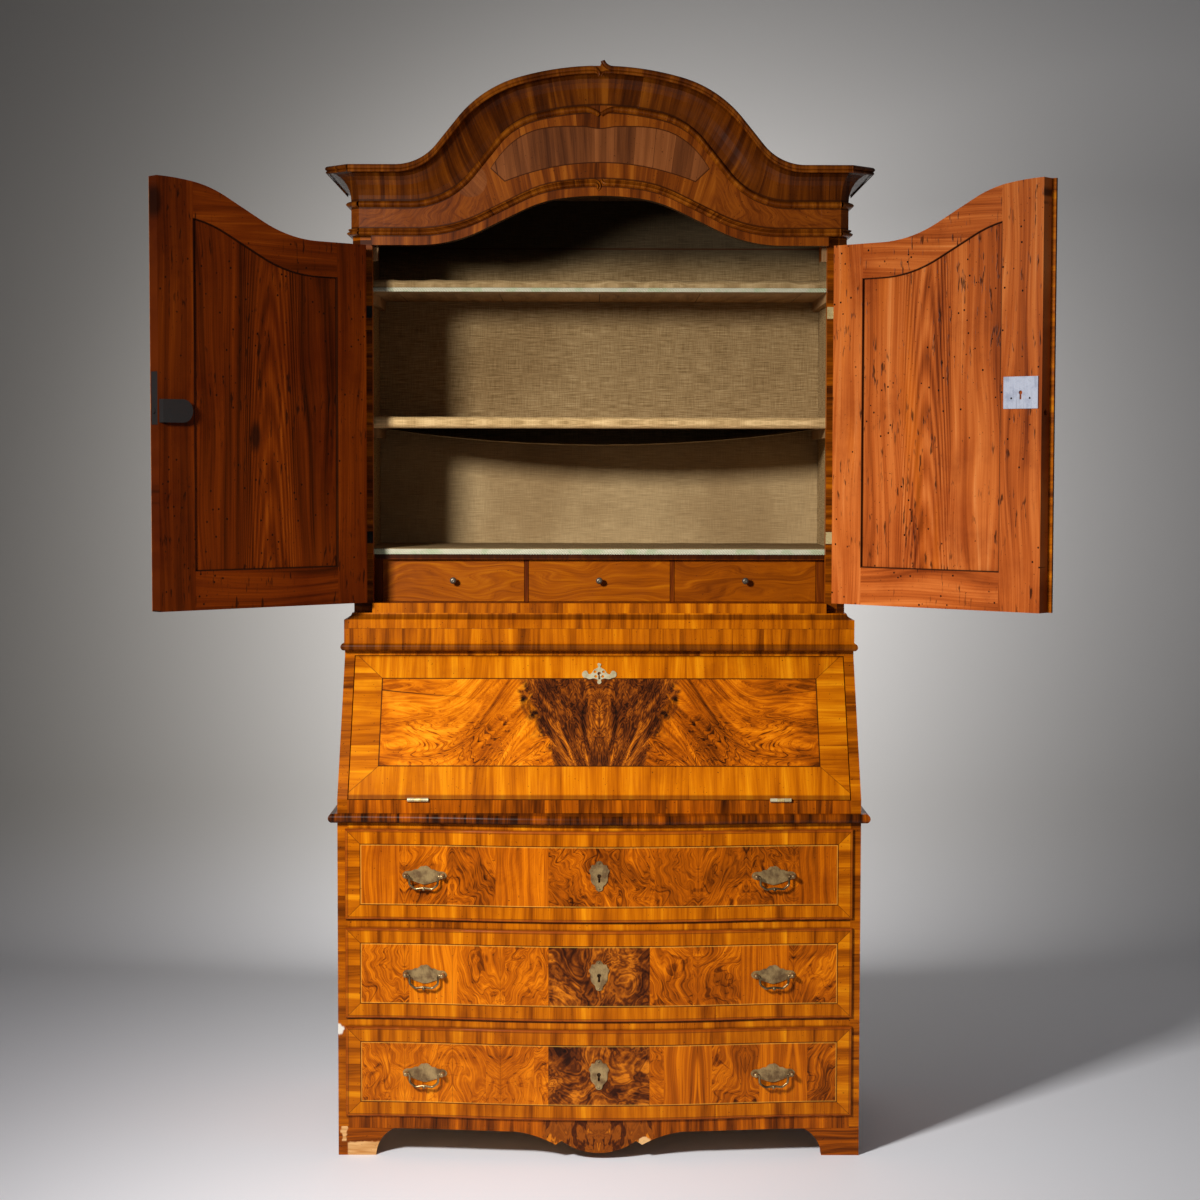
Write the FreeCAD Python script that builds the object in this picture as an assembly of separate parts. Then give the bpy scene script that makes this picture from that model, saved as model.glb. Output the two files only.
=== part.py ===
import FreeCAD, Part
import math
import os
from collections import namedtuple

V = FreeCAD.Vector

# Frame: +X to the right, +Y to the back, +Z up, millimetres. The origin is on the floor, under the
# middle of the ground that the desk covers with its doors standing open.

# Overall case
case_width = 1040.0
base_depth = 580.0
origin_to_back = 382.0
side_thickness = 20.0
back_thickness = 14.0
front_bulge = 35.0
fit_gap = 1.0
rest_gap = 0.3
overrun = 5.0

# Feet and apron
foot_height = 58.0
foot_width = 75.0
foot_side_length = 95.0
foot_arc_width = 38.0
foot_shoulder = 3.0
foot_hollow_share = 0.3
apron_thickness = 22.0
apron_cusp_z = 30.0
apron_step_z = 38.0
apron_drop_z = 14.0
apron_ogee_half = 165.0
apron_cusp_half = 86.0
apron_step_half = 74.0

# Large drawers
drawer_lift = 22.0
drawer_height = 171.0
drawer_pitch = 198.0
drawer_names = ("lower", "middle", "upper")
lip_thickness = 7.0
lip_overlap = 4.5
lip_rise = 10.0
lip_round = 3.5
front_thickness = 17.0
rail_depth = 45.0
runner_width = 60.0
runner_thickness = 18.0
floor_thickness = 20.0
box_side_thickness = 12.0
box_bottom_thickness = 8.0
box_bottom_rise = 6.0
box_top_gap = 8.0
box_back_gap = 30.0

# Table moulding and writing board
table_lift = 23.0
table_thickness = 18.0
table_overhang = 17.0
table_nose_flat = 11.0
table_inner = 30.0
writing_board_thickness = 26.0

# Fall lid
lid_run = 162.0
lid_height = 272.0
lid_thickness = 22.0
lid_gap = 1.5
lid_side_gap = 2.0
lid_knuckle_radius = 4.0
lid_pin_radius = 2.0
lid_pin_forward = 2.5
lid_hinge_share = 0.6923
lid_hinge_length = 42.0
lid_leaf_width = 18.0
pin_clearance = 0.05

# Pigeonholes inside the desk
pigeonhole_depth = 200.0
pigeonhole_board = 10.0
pigeonhole_count = 5
pigeonhole_shelf_share = 0.5

# Desk top and waist
desk_top_thickness = 26.0
astragal_height = 15.0
astragal_overhang = 7.0
astragal_flat = 2.0
fascia_height = 48.0
fascia_joint_height = 30.0
fascia_thickness = 20.0
cove_height = 13.0
cove_bow_share = 0.35

# Upper cabinet
cabinet_inset = 15.0
cant_leg = 17.0
stile_width = 41.0
stile_thickness = 22.0
cabinet_side_thickness = 22.0
bottom_rail_height = 20.0
opening_height = 726.5

# Small drawers and their nest
nest_setback = 75.0
small_drawer_height = 86.0
small_drawer_gap = 1.0
small_drawer_room = 59.0
small_drawer_count = 3
small_drawer_names = ("left", "centre", "right")
small_front_thickness = 14.0
small_side_thickness = 8.0
small_bottom_thickness = 5.0
divider_thickness = 8.0
end_filler = 26.0
deck_thickness = 22.0
deck_forward = 14.0
knob_radius = 7.0
knob_neck_radius = 3.0
knob_length = 20.0
knob_head = 9.0

# Shelves and lining
middle_shelf_share = 0.4046
top_shelf_share = 0.8582
shelf_thickness = 21.0
shelf_nose_radius = 8.0
bearer_height = 20.0
bearer_thickness = 14.0
glue_block = 28.0
lining_thickness = 1.2
lining_slack = 34.0
slack_setback = 30.0
slack_end_gap = 22.0
braid_height = 12.0
braid_thickness = 2.0

# Arched front: the curve starts flat, hollows, climbs and rounds over at the top. Its lengths are shares
# of the cabinet's half width, and its two angles, where it climbs and where it rounds over, are in degrees
Arch = namedtuple("Arch", "start rise hollow_radius shoulder_radius steep shoulder")
door_arch_shares = (0.7327, 0.1980, 0.5881, 0.4950)
door_arch_angles = (26.0, 8.0)
bead_arch_shares = (0.7624, 0.3802, 0.3188, 0.2970)
bead_arch_angles = (51.0, 14.0)
crown_arch_shares = (0.8158, 0.3881, 0.2218, 0.4733)
crown_arch_angles = (51.0, 16.0)
arch_strip = 19.0
lower_bead_height = 15.0
lower_bead_out = 8.0
upper_bead_lift = 41.5
upper_bead_height = 13.0
upper_bead_out = 10.0
hollow_height = 57.0
crown_edge = 11.0
crown_overhang = 46.0
cornice_sections = 9
cornice_joint_shares = (0.26, 0.52, 0.8)
roof_thickness = 9.0
roof_drop = 11.0
scroll_radius = 7.0
scroll_depth = 26.0

# Cabinet doors
door_thickness = 28.0
door_gap = 1.0
door_clearance = 2.5
door_open_angle = 138.0
hinge_stile = 72.0
meeting_stiles = {"left": 80.0, "right": 92.0}
bottom_rail = 76.0
top_rail = 70.0
panel_recess = 5.0
lip_width = 14.0
lip_cover = 8.0
lip_proud = 5.0
hinge_lift = 95.0
hinge_length = 72.0
hinge_pin_radius = 2.2
hinge_knuckle_radius = 4.4
hinge_pin_out = 2.6
hinge_pin_forward = 4.0
hinge_leaf_thickness = 1.0
hinge_leaf_width = 22.0

# Locks
drawer_lock_width = 70.0
drawer_lock_height = 90.0
drawer_lock_depth = 9.0
bolt_width = 24.0
bolt_thickness = 4.0
bolt_length = 30.0
bolt_throw = 8.0
bolt_clearance = 0.3
mortise_clearance = 1.0
bolt_inset = 0.8
door_lock_share = 0.5272
door_lock_width = 66.0
door_lock_height = 44.0
door_lock_depth = 14.0
fore_end_height = 100.0
fore_end_thickness = 1.8
fore_end_lift = 24.0
door_bolt_radius = 5.0
door_bolt_proud = 3.0
door_bolt_throw = 9.0
door_bolt_socket = 16.0
steel_lock_share = 0.5795
steel_lock_width = 76.0
steel_lock_height = 61.0
steel_lock_thickness = 3.0
steel_lock_inset = 8.0

# Drawer pulls and key plates
pull_share = 0.6654
pull_rise = 5.0
plate_half_width = 44.0
plate_half_height = 18.5
plate_thickness = 2.0
plate_shares = ((0.0, 1.0), (0.16, 0.95), (0.285, 0.69), (0.33, 0.62), (0.41, 0.63), (0.545, 0.49),
                (0.68, 0.42), (0.83, 0.41), (0.955, 0.24), (1.0, 0.0), (0.955, -0.24), (0.84, -0.39),
                (0.7, -0.46), (0.59, -0.57), (0.455, -0.69), (0.27, -0.84), (0.11, -0.96), (0.0, -1.0))
post_half = 36.5
post_radius = 4.5
post_length = 15.0
bail_out = 11.0
bail_radius = 2.3
bail_leg_half = 28.5
bail_bend = 3.4
bail_knee_drop = 17.0
bail_hip_half = 17.0
bail_hip_drop = 26.0
bail_middle_drop = 23.5
bail_curve = 9.0
bail_bead_radius = 3.8
key_plate_half_width = 20.0
key_plate_half_height = 30.0
key_plate_rise = 8.0
key_plate_shares = ((0.0, 1.0), (0.22, 0.96), (0.34, 0.83), (0.42, 0.75), (0.72, 0.73), (0.81, 0.56),
                    (1.0, 0.37), (0.88, 0.16), (0.84, -0.1), (0.81, -0.31), (0.62, -0.53), (0.37, -0.73),
                    (0.33, -0.88), (0.16, -0.98), (0.0, -1.0))
keyhole_radius = 4.0
keyhole_slot = 13.0
keyhole_slot_half_share = 0.5
lid_plate_half_width = 35.0
lid_plate_half_height = 23.5
lid_plate_drop = 40.0
lid_plate_shares = ((0.0, 1.0), (0.1, 0.83), (0.06, 0.64), (0.13, 0.53), (0.27, 0.41), (0.4, 0.15),
                    (0.48, -0.01), (0.6, -0.07), (0.67, 0.07), (0.76, 0.27), (0.92, 0.2), (1.0, -0.08),
                    (0.89, -0.37), (0.77, -0.41), (0.57, -0.53), (0.39, -0.47), (0.2, -0.5), (0.09, -0.63),
                    (0.12, -0.81), (0.0, -1.0))
lid_piercing_radius = 3.0
lid_piercing_shares = ((0.25, 0.18), (0.2, -0.27))

# Values that follow from the sizes above
half_case = case_width / 2
half_inner = half_case - side_thickness
base_front = origin_to_back - base_depth
inner_back = origin_to_back - back_thickness
apron_edge_z = foot_height - foot_shoulder
first_drawer_z = foot_height + drawer_lift
top_drawer_z = first_drawer_z + drawer_pitch * (len(drawer_names) - 1)
table_z = top_drawer_z + drawer_height + table_lift
writing_z = table_z + table_thickness + writing_board_thickness
lid_bottom_z = writing_z + lid_gap
lid_top_z = lid_bottom_z + lid_height
lid_tilt = math.atan2(lid_run, lid_height)
lid_hinge_x = half_case * lid_hinge_share
pull_x = half_case * pull_share
door_front = base_front + lid_run
stile_front = door_front + door_thickness + door_gap
desk_top_z = lid_top_z + lid_gap
waist_z = desk_top_z + desk_top_thickness
plinth_z = waist_z + fascia_height
cabinet_floor_z = plinth_z + cove_height
bottom_rail_top = cabinet_floor_z + bottom_rail_height
arch_z = bottom_rail_top + opening_height
lower_bead_z = arch_z + arch_strip
upper_bead_z = lower_bead_z + lower_bead_height + upper_bead_lift
hollow_z = upper_bead_z + upper_bead_height
crown_bottom_z = hollow_z + hollow_height
crown_top_z = crown_bottom_z + crown_edge
cabinet_top_z = crown_top_z - roof_drop - roof_thickness
cabinet_half = half_case - cabinet_inset
opening_half = cabinet_half - stile_width
front_corner = cabinet_half - cant_leg
cabinet_inner = cabinet_half - cabinet_side_thickness
door_arch = Arch(*[cabinet_half * share for share in door_arch_shares], *door_arch_angles)
bead_arch = Arch(*[cabinet_half * share for share in bead_arch_shares], *bead_arch_angles)
crown_arch = Arch(*[cabinet_half * share for share in crown_arch_shares], *crown_arch_angles)
door_lock_z = bottom_rail_top + opening_height * door_lock_share
steel_lock_z = bottom_rail_top + opening_height * steel_lock_share
nest_front = door_front + nest_setback
nest_floor_z = bottom_rail_top
deck_z = nest_floor_z + rest_gap + small_drawer_height + small_drawer_gap
deck_top_z = deck_z + deck_thickness
small_drawer_depth = inner_back - nest_front - small_drawer_room
middle_shelf_z = deck_top_z + (arch_z - deck_top_z) * middle_shelf_share
top_shelf_z = deck_top_z + (arch_z - deck_top_z) * top_shelf_share
lining_back = inner_back - lining_thickness
shelf_front = nest_front
serpentine_angle = 2 * math.atan(front_bulge / half_case)
serpentine_radius = half_case / (2 * math.sin(serpentine_angle))
bolt_y = base_front - front_bulge + front_thickness / 2
lid_slope = math.hypot(lid_run, lid_height)
lid_bolt_top = lid_slope - lid_thickness / 2 * math.tan(lid_tilt) - bolt_inset
lid_lock_top = lid_bolt_top - bolt_inset
reach = case_width


def box(x0, x1, y0, y1, z0, z1):
    """A box between six planes."""
    return Part.makeBox(x1 - x0, y1 - y0, z1 - z0, V(x0, y0, z0))


def line(start, end):
    return Part.LineSegment(start, end).toShape()


def arc(start, middle, end):
    return Part.Arc(start, middle, end).toShape()


def mirrored(shape):
    """The same piece on the other side of the middle."""
    return shape.mirror(V(0, 0, 0), V(1, 0, 0))


def both_sides(shape):
    return [shape, mirrored(shape)]


def prism(points, direction):
    """A solid swept straight from a flat polygon."""
    return Part.Face(Part.makePolygon(points + points[:1])).extrude(direction)


def smooth_plate(shares, half_width, half_height, thickness):
    """A plate with a smooth mirrored outline, standing in the XZ plane with its back at Y = 0."""
    right = [V(half_width * across, 0, half_height * up) for across, up in shares]
    left = [V(-point.x, 0, point.z) for point in reversed(right[1:-1])]
    outline = Part.BSplineCurve()
    outline.interpolate(right + left, PeriodicFlag=True)
    return Part.Face(Part.Wire(outline.toShape())).extrude(V(0, -thickness, 0))


def keyhole(depth):
    """A round hole over a slot, cut along Y from the origin forwards."""
    slot_half = keyhole_radius * keyhole_slot_half_share
    hole = Part.makeCylinder(keyhole_radius, depth, V(0, 0, 0), V(0, -1, 0))
    return hole.fuse(box(-slot_half, slot_half, -depth, 0, -keyhole_slot, 0))


def save(name, solids):
    """Write one named piece, or a group of like pieces, to its file."""
    pieces = solids if isinstance(solids, list) else [solids]
    flat = [solid for piece in pieces for solid in piece.Solids]
    shape = flat[0] if len(flat) == 1 else Part.makeCompound(flat)
    shape.exportStep("parts/" + name + ".step")
    volume = sum(solid.Volume for solid in flat)
    print(name, len(flat), "solids", round(volume / 1000), "cm3", all(s.isValid() for s in flat))


# Serpentine front

def serpentine_y(x):
    """Where the curved front lies at a distance from the middle."""
    distance = min(abs(x), half_case)
    if distance < half_case / 2:
        depth = serpentine_radius - math.sqrt(serpentine_radius ** 2 - distance ** 2)
        return base_front - front_bulge + depth
    inner = half_case - distance
    return base_front - serpentine_radius + math.sqrt(serpentine_radius ** 2 - inner ** 2)


def serpentine_turn(x):
    """How far the front turns in plan, in degrees, at a distance from the middle."""
    distance = min(abs(x), half_case - abs(x))
    return math.copysign(math.degrees(math.asin(distance / serpentine_radius)), x)


def serpentine_edges(offset, z):
    """The front line from left to right, moved forwards by an offset."""
    def point(x):
        return V(x, serpentine_y(x) - offset, z)

    knots = (-half_case, -half_case / 2, half_case / 2, half_case)
    arcs = [arc(point(a), point((a + b) / 2), point(b)) for a, b in zip(knots, knots[1:])]
    return [line(point(-reach), point(-half_case))] + arcs + [line(point(half_case), point(reach))]


def serpentine_block(offset, back, half, z0, z1):
    """A block with the curved front, a straight back and straight sides."""
    front_left = V(-reach, base_front - offset, z0)
    front_right = V(reach, base_front - offset, z0)
    back_left = V(-reach, back, z0)
    back_right = V(reach, back, z0)
    ends = [line(front_right, back_right), line(back_right, back_left), line(back_left, front_left)]
    block = Part.Face(Part.Wire(serpentine_edges(offset, z0) + ends)).extrude(V(0, 0, z1 - z0))
    front = base_front - front_bulge - offset - overrun
    return block.common(box(-half, half, front, back, z0, z1))


def serpentine_band(front_offset, back_offset, half, z0, z1):
    """A board of even thickness that follows the curved front."""
    deep = origin_to_back
    outer = serpentine_block(front_offset, deep, half, z0, z1)
    return outer.cut(serpentine_block(back_offset, deep + overrun, half + overrun, z0, z1))


# Arched front

def arch_edges(arch, half, y, z):
    """The arched line from left to right at a depth, with its flat ends at a height."""
    steep = math.radians(arch.steep)
    shoulder = math.radians(arch.shoulder)
    rise_left = arch.rise - arch.hollow_radius * (1 - math.cos(steep))
    rise_left -= arch.shoulder_radius * (math.cos(shoulder) - math.cos(steep))
    run_left = arch.start - arch.hollow_radius * math.sin(steep)
    run_left -= arch.shoulder_radius * (math.sin(steep) - math.sin(shoulder))
    top_rise_share = 1 - math.cos(shoulder)
    scale = math.cos(steep) * top_rise_share - math.sin(steep) * math.sin(shoulder)
    straight = (run_left * top_rise_share - rise_left * math.sin(shoulder)) / scale

    def hollow(angle):
        across = arch.hollow_radius * math.sin(angle) - arch.start
        return V(across, y, z + arch.hollow_radius * (1 - math.cos(angle)))

    foot = hollow(steep)
    climb = foot + V(straight * math.cos(steep), 0, straight * math.sin(steep))

    def rounded(angle):
        across = arch.shoulder_radius * (math.sin(steep) - math.sin(angle))
        return climb + V(across, 0, arch.shoulder_radius * (math.cos(angle) - math.cos(steep)))

    def other(point):
        return V(-point.x, point.y, point.z)

    begin = V(-half, y, z)
    first = hollow(0)
    middle = hollow(steep / 2)
    turn = rounded((steep + shoulder) / 2)
    top = rounded(shoulder)
    apex = V(0, y, z + arch.rise)
    return [line(begin, first), arc(first, middle, foot), line(foot, climb), arc(climb, turn, top),
            arc(top, apex, other(top)), arc(other(top), other(turn), other(climb)),
            line(other(climb), other(foot)), arc(other(foot), other(middle), other(first)),
            line(other(first), other(begin))]


def arch_wire(lower, lower_z, upper, upper_z, half, y):
    """The closed outline between two arched lines, or between a straight line and an arched one."""
    straight = [line(V(-half, y, lower_z), V(half, y, lower_z))]
    bottom = arch_edges(lower, half, y, lower_z) if lower else straight
    top = list(reversed(arch_edges(upper, half, y, upper_z)))
    right = line(V(half, y, lower_z), V(half, y, upper_z))
    left = line(V(-half, y, upper_z), V(-half, y, lower_z))
    return Part.Wire(bottom + [right] + top + [left])


def arch_plate(lower, lower_z, upper, upper_z, half, y0, y1):
    """A flat board with arched edges, standing across the cabinet."""
    return Part.Face(arch_wire(lower, lower_z, upper, upper_z, half, y0)).extrude(V(0, y1 - y0, 0))


# Mouldings that turn corners

def outward(direction):
    """The outside of a run that goes round the case from left to right."""
    return V(direction.y, -direction.x, 0)


def mitre_cut(shape, corner, before, after, keep):
    """Cut a run along the mitre at a corner, keeping the side that a direction points to."""
    mitre = outward(before) + outward(after)
    mitre.normalize()
    ends = (corner + mitre * reach, corner - mitre * reach)
    base = [V(end.x, end.y, -reach) for end in ends]
    base += [point - keep * reach for point in reversed(base)]
    return shape.cut(prism(base, V(0, 0, crown_top_z + crown_arch.rise + 2 * reach)))


def moulding_run(profile, corners, skip=()):
    """Straight mitred lengths of a moulding along a plan line; the profile's X points outwards."""
    directions = []
    for start, end in zip(corners, corners[1:]):
        direction = end - start
        directions.append(direction.normalize())
    lengths = []
    for index, direction in enumerate(directions):
        if index in skip:
            continue
        start, end = corners[index], corners[index + 1]
        first, last = index == 0, index == len(directions) - 1
        begin = start if first else start - direction * half_case
        finish = end if last else end + direction * half_case
        out = outward(direction)
        frame = FreeCAD.Matrix(out.x, direction.x, 0, begin.x, out.y, direction.y, 0, begin.y, 0, 0, 1, 0)
        run = profile.transformed(frame).Faces[0].extrude(finish - begin)
        if not first:
            run = mitre_cut(run, start, directions[index - 1], direction, direction)
        if not last:
            run = mitre_cut(run, end, direction, directions[index + 1], direction * -1)
        lengths.append(run)
    return lengths


def nosed_profile(inner, flat, overhang, z0, z1):
    """A board edge with a rounded nose, in the XZ plane."""
    low, high = V(flat, 0, z0), V(flat, 0, z1)
    nose = arc(low, V(overhang, 0, (z0 + z1) / 2), high)
    edges = [line(V(-inner, 0, z0), low), nose, line(high, V(-inner, 0, z1)),
             line(V(-inner, 0, z1), V(-inner, 0, z0))]
    return Part.Face(Part.Wire(edges))


def cabinet_plan(front, corner, side):
    """The plan line of the cabinet's sides, canted corners and front, from left back to right back."""
    left = [V(-side, origin_to_back, 0), V(-side, front + side - corner, 0), V(-corner, front, 0)]
    return left + [V(-point.x, point.y, 0) for point in reversed(left)]


def square_plan(front, half):
    left = [V(-half, origin_to_back, 0), V(-half, front, 0)]
    return left + [V(-point.x, point.y, 0) for point in reversed(left)]


# Base case

def drawer_bottom(index):
    """The lower edge of a large drawer's opening."""
    return first_drawer_z + drawer_pitch * index + lip_overlap


def drawer_top(index):
    return first_drawer_z + drawer_pitch * index + drawer_height - lip_overlap


def case_side():
    """The left side board, cut back along the slope of the lid."""
    outline = [(base_front, foot_height), (base_front, lid_bottom_z), (door_front, lid_top_z),
               (door_front, waist_z), (origin_to_back, waist_z), (origin_to_back, foot_height)]
    points = [V(-half_case, y, z) for y, z in outline]
    return prism(points, V(side_thickness, 0, 0))


def drawer_rails():
    """The curved rails over each large drawer: two lengths, and keeper blocks round the bolt's mortise."""
    half, half_thick = bolt_width / 2 + mortise_clearance, bolt_thickness / 2 + mortise_clearance
    front, back = base_front - front_bulge - overrun, base_front + rail_depth
    mortise_front, mortise_back = bolt_y - half_thick, bolt_y + half_thick
    solids = []
    for index in range(len(drawer_names)):
        below = drawer_top(index)
        above = drawer_bottom(index + 1) if index + 1 < len(drawer_names) else table_z
        mortise_top = below + bolt_throw + mortise_clearance
        rail = serpentine_block(0, back, half_inner, below, above)
        solids += both_sides(rail.common(box(-half_inner, -half, front, back, below, above)))
        solids.append(rail.common(box(-half, half, front, mortise_front, below, above)))
        solids.append(box(-half, half, mortise_front, mortise_back, mortise_top, above))
        solids.append(box(-half, half, mortise_back, back, below, above))
    return solids


def drawer_supports():
    """The floor of the case and the runners under the upper drawers."""
    floor_top = drawer_bottom(0)
    behind = -apron_thickness - rest_gap
    floor = serpentine_block(behind, inner_back, half_inner, floor_top - floor_thickness, floor_top)
    solids = [floor]
    for index in range(1, len(drawer_names)):
        top = drawer_bottom(index)
        runner = box(-half_inner, -half_inner + runner_width, base_front + rail_depth, inner_back,
                     top - runner_thickness, top)
        solids += both_sides(runner)
    return solids


def apron():
    """The veneered board under the lowest drawer, with a pendant between two ogees."""
    top = drawer_bottom(0)
    board = serpentine_band(0, -apron_thickness, half_inner, apron_drop_z, top)
    y = base_front - front_bulge - overrun
    edge, cusp, step = apron_ogee_half, apron_cusp_half, apron_step_half
    swell = (edge + cusp) / 2
    start, finish = V(-half_case, y, apron_edge_z), V(half_case, y, apron_edge_z)
    ogee_left, ogee_right = V(-edge, y, apron_edge_z), V(edge, y, apron_edge_z)
    bow = (apron_edge_z * 2 + apron_cusp_z) / 3
    cusp_left, cusp_right = V(-cusp, y, apron_cusp_z), V(cusp, y, apron_cusp_z)
    step_left, step_right = V(-step, y, apron_step_z), V(step, y, apron_step_z)
    low_left, low_right = V(-half_case, y, -overrun), V(half_case, y, -overrun)
    edges = [line(start, ogee_left), arc(ogee_left, V(-swell, y, bow), cusp_left),
             line(cusp_left, step_left), arc(step_left, V(0, y, apron_drop_z), step_right),
             line(step_right, cusp_right), arc(cusp_right, V(swell, y, bow), ogee_right),
             line(ogee_right, finish), line(finish, low_right), line(low_right, low_left),
             line(low_left, start)]
    waste = Part.Face(Part.Wire(edges)).extrude(V(0, base_depth, 0))
    return board.cut(waste)


def bracket_feet():
    """Two shaped brackets in front and two plain blocks at the back."""
    start = V(-half_case, base_front, 0)
    toe = V(foot_width - half_case, base_front, 0)
    knee = V(foot_width + foot_arc_width - half_case, base_front, apron_edge_z)
    hollow = toe + (knee - toe) * (1 - foot_hollow_share) + V(-foot_arc_width * foot_hollow_share, 0, 0)
    top_in = V(-half_inner, base_front, apron_edge_z)
    shelf = V(-half_inner, base_front, foot_height)
    corner = V(-half_case, base_front, foot_height)
    edges = [line(start, toe), arc(toe, hollow, knee), line(knee, top_in), line(top_in, shelf),
             line(shelf, corner), line(corner, start)]
    front = Part.Face(Part.Wire(edges)).extrude(V(0, apron_thickness, 0))
    side = box(-half_case, -half_inner, base_front + apron_thickness, base_front + foot_side_length,
               0, foot_height)
    rear = box(-half_case, -half_inner, origin_to_back - foot_side_length, origin_to_back, 0, foot_height)
    return both_sides(front.fuse(side).removeSplitter()) + both_sides(rear)


def table_moulding():
    """The nosed moulding round the case: a curved length in front and a straight one on each side."""
    top = table_z + table_thickness
    profile = nosed_profile(table_inner, table_nose_flat, table_overhang, table_z, top)
    turn = FreeCAD.Matrix(0, 1, 0, -reach, -1, 0, 0, base_front, 0, 0, 1, 0)
    spine = Part.Wire(serpentine_edges(0, table_z))
    front = spine.makePipeShell([profile.transformed(turn).Wires[0]], True, False)
    front = front.cut(box(-reach, -half_inner, base_front, origin_to_back, table_z, top))
    front = front.cut(box(half_inner, reach, base_front, origin_to_back, table_z, top))
    plan = square_plan(base_front, half_case)
    across, along = V(1, 0, 0), V(0, 1, 0)
    front = mitre_cut(front, plan[1], along * -1, across, across)
    front = mitre_cut(front, plan[2], across, along, across * -1)
    edge = nosed_profile(0, table_nose_flat, table_overhang, table_z, top)
    return [front] + moulding_run(edge, plan, skip=(1,))


def writing_board():
    """The board that the lid is hung on, hollowed along its edge for the hinge knuckles."""
    board = box(-half_inner, half_inner, base_front, inner_back, table_z + table_thickness, writing_z)
    return cut_knuckle_grooves(board)


def cut_knuckle_grooves(board):
    """Hollow a board's edge where the knuckles of the lid's hinges turn."""
    axis = lid_axis()
    for x in (-lid_hinge_x, lid_hinge_x):
        start = x - lid_hinge_length / 2 - fit_gap
        length = lid_hinge_length + 2 * fit_gap
        radius = lid_knuckle_radius + rest_gap
        board = board.cut(Part.makeCylinder(radius, length, V(start, axis.y, axis.z), V(1, 0, 0)))
    return board


def pigeonholes():
    """Open pigeonholes at the back of the writing compartment: one shelf and two rows of uprights."""
    front = inner_back - pigeonhole_depth
    half_board = pigeonhole_board / 2
    shelf_z = writing_z + (desk_top_z - writing_z) * pigeonhole_shelf_share
    solids = [box(-half_inner, half_inner, front, inner_back, shelf_z - half_board, shelf_z + half_board)]
    for index in range(1, pigeonhole_count):
        x = -half_inner + 2 * half_inner * index / pigeonhole_count
        left, right = x - half_board, x + half_board
        solids.append(box(left, right, front, inner_back, writing_z, shelf_z - half_board))
        solids.append(box(left, right, front, inner_back, shelf_z + half_board, desk_top_z))
    return solids


def desk_top():
    """The board over the writing compartment, with a mortise for the bolt of the lid's lock."""
    board = box(-half_inner, half_inner, door_front, inner_back, desk_top_z, waist_z)
    return board.cut(on_lid(lid_bolt(bolt_clearance, bolt_throw)))


def waist_mouldings():
    """Astragal, two-part fascia and cove between the desk and the cabinet."""
    front = door_front - cabinet_inset
    low = waist_z - astragal_height
    astragal = nosed_profile(cabinet_inset, astragal_flat, astragal_overhang, low, waist_z)
    case = box(-half_case, half_case, door_front, origin_to_back, desk_top_z, waist_z)
    solids = [length.cut(case) for length in moulding_run(astragal, square_plan(front, half_case))]
    joint = waist_z + fascia_joint_height
    half = half_case - fascia_thickness
    for low, high in ((waist_z, joint), (joint, plinth_z)):
        solids.append(box(-half_case, half_case, front, front + fascia_thickness, low, high))
        solids += both_sides(box(-half_case, -half, front + fascia_thickness, origin_to_back, low, high))
    solids.append(box(-half, half, inner_back, origin_to_back, waist_z, plinth_z))
    high_out, low_out = 0, cabinet_inset
    bow = V(low_out * cove_bow_share, 0, plinth_z + cove_height * cove_bow_share)
    foot, lip = V(low_out, 0, plinth_z), V(high_out, 0, cabinet_floor_z)
    low_back = V(-cabinet_side_thickness, 0, plinth_z)
    high_back = V(-cabinet_side_thickness, 0, cabinet_floor_z)
    cove_edges = [line(low_back, foot), arc(foot, bow, lip), line(lip, high_back), line(high_back, low_back)]
    return solids + moulding_run(Part.Face(Part.Wire(cove_edges)), square_plan(door_front, cabinet_half))


# Upper cabinet

def cabinet_side():
    """The left side board and the canted stile in front of it."""
    back_of_stile = stile_front + stile_thickness
    board = box(-cabinet_half, -cabinet_inner, back_of_stile, origin_to_back, cabinet_floor_z, cabinet_top_z)
    plan = [(-opening_half, stile_front), (-front_corner, stile_front),
            (-cabinet_half, stile_front + cant_leg), (-cabinet_half, back_of_stile),
            (-opening_half, back_of_stile)]
    points = [V(x, y, cabinet_floor_z) for x, y in plan]
    return [board, prism(points, V(0, 0, cabinet_top_z - cabinet_floor_z))]


def offset_arch(arch, up):
    """An arched line moved up by an even distance, square to the line."""
    return arch._replace(hollow_radius=arch.hollow_radius - up, shoulder_radius=arch.shoulder_radius + up)


def roof_line(drop):
    """The crown's line moved down into the cabinet by a distance."""
    return offset_arch(crown_arch, -drop), crown_top_z - drop


def cabinet_back():
    arch, z = roof_line(roof_drop + roof_thickness)
    return arch_plate(None, plinth_z, arch, z, cabinet_inner, inner_back, origin_to_back)


def small_drawer_case():
    """The floor, dividers, end fillers and deck that hold the small drawers."""
    inner = cabinet_inner
    back = inner_back
    behind = stile_front + stile_thickness
    floor = box(-opening_half, opening_half, door_front, behind, cabinet_floor_z, nest_floor_z)
    rear = box(-inner, inner, behind, back, cabinet_floor_z, nest_floor_z)
    solids = [floor.fuse(rear).removeSplitter()]
    solids.append(box(-inner, inner, nest_front - deck_forward, lining_back, deck_z, deck_top_z))
    for edge in small_drawer_edges()[1:-1]:
        solids.append(box(edge, edge + divider_thickness, nest_front, back, nest_floor_z, deck_z))
    end = small_drawer_edges()[0] + divider_thickness
    solids += both_sides(box(-inner, end, nest_front, back, nest_floor_z, deck_z))
    return solids


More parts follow.
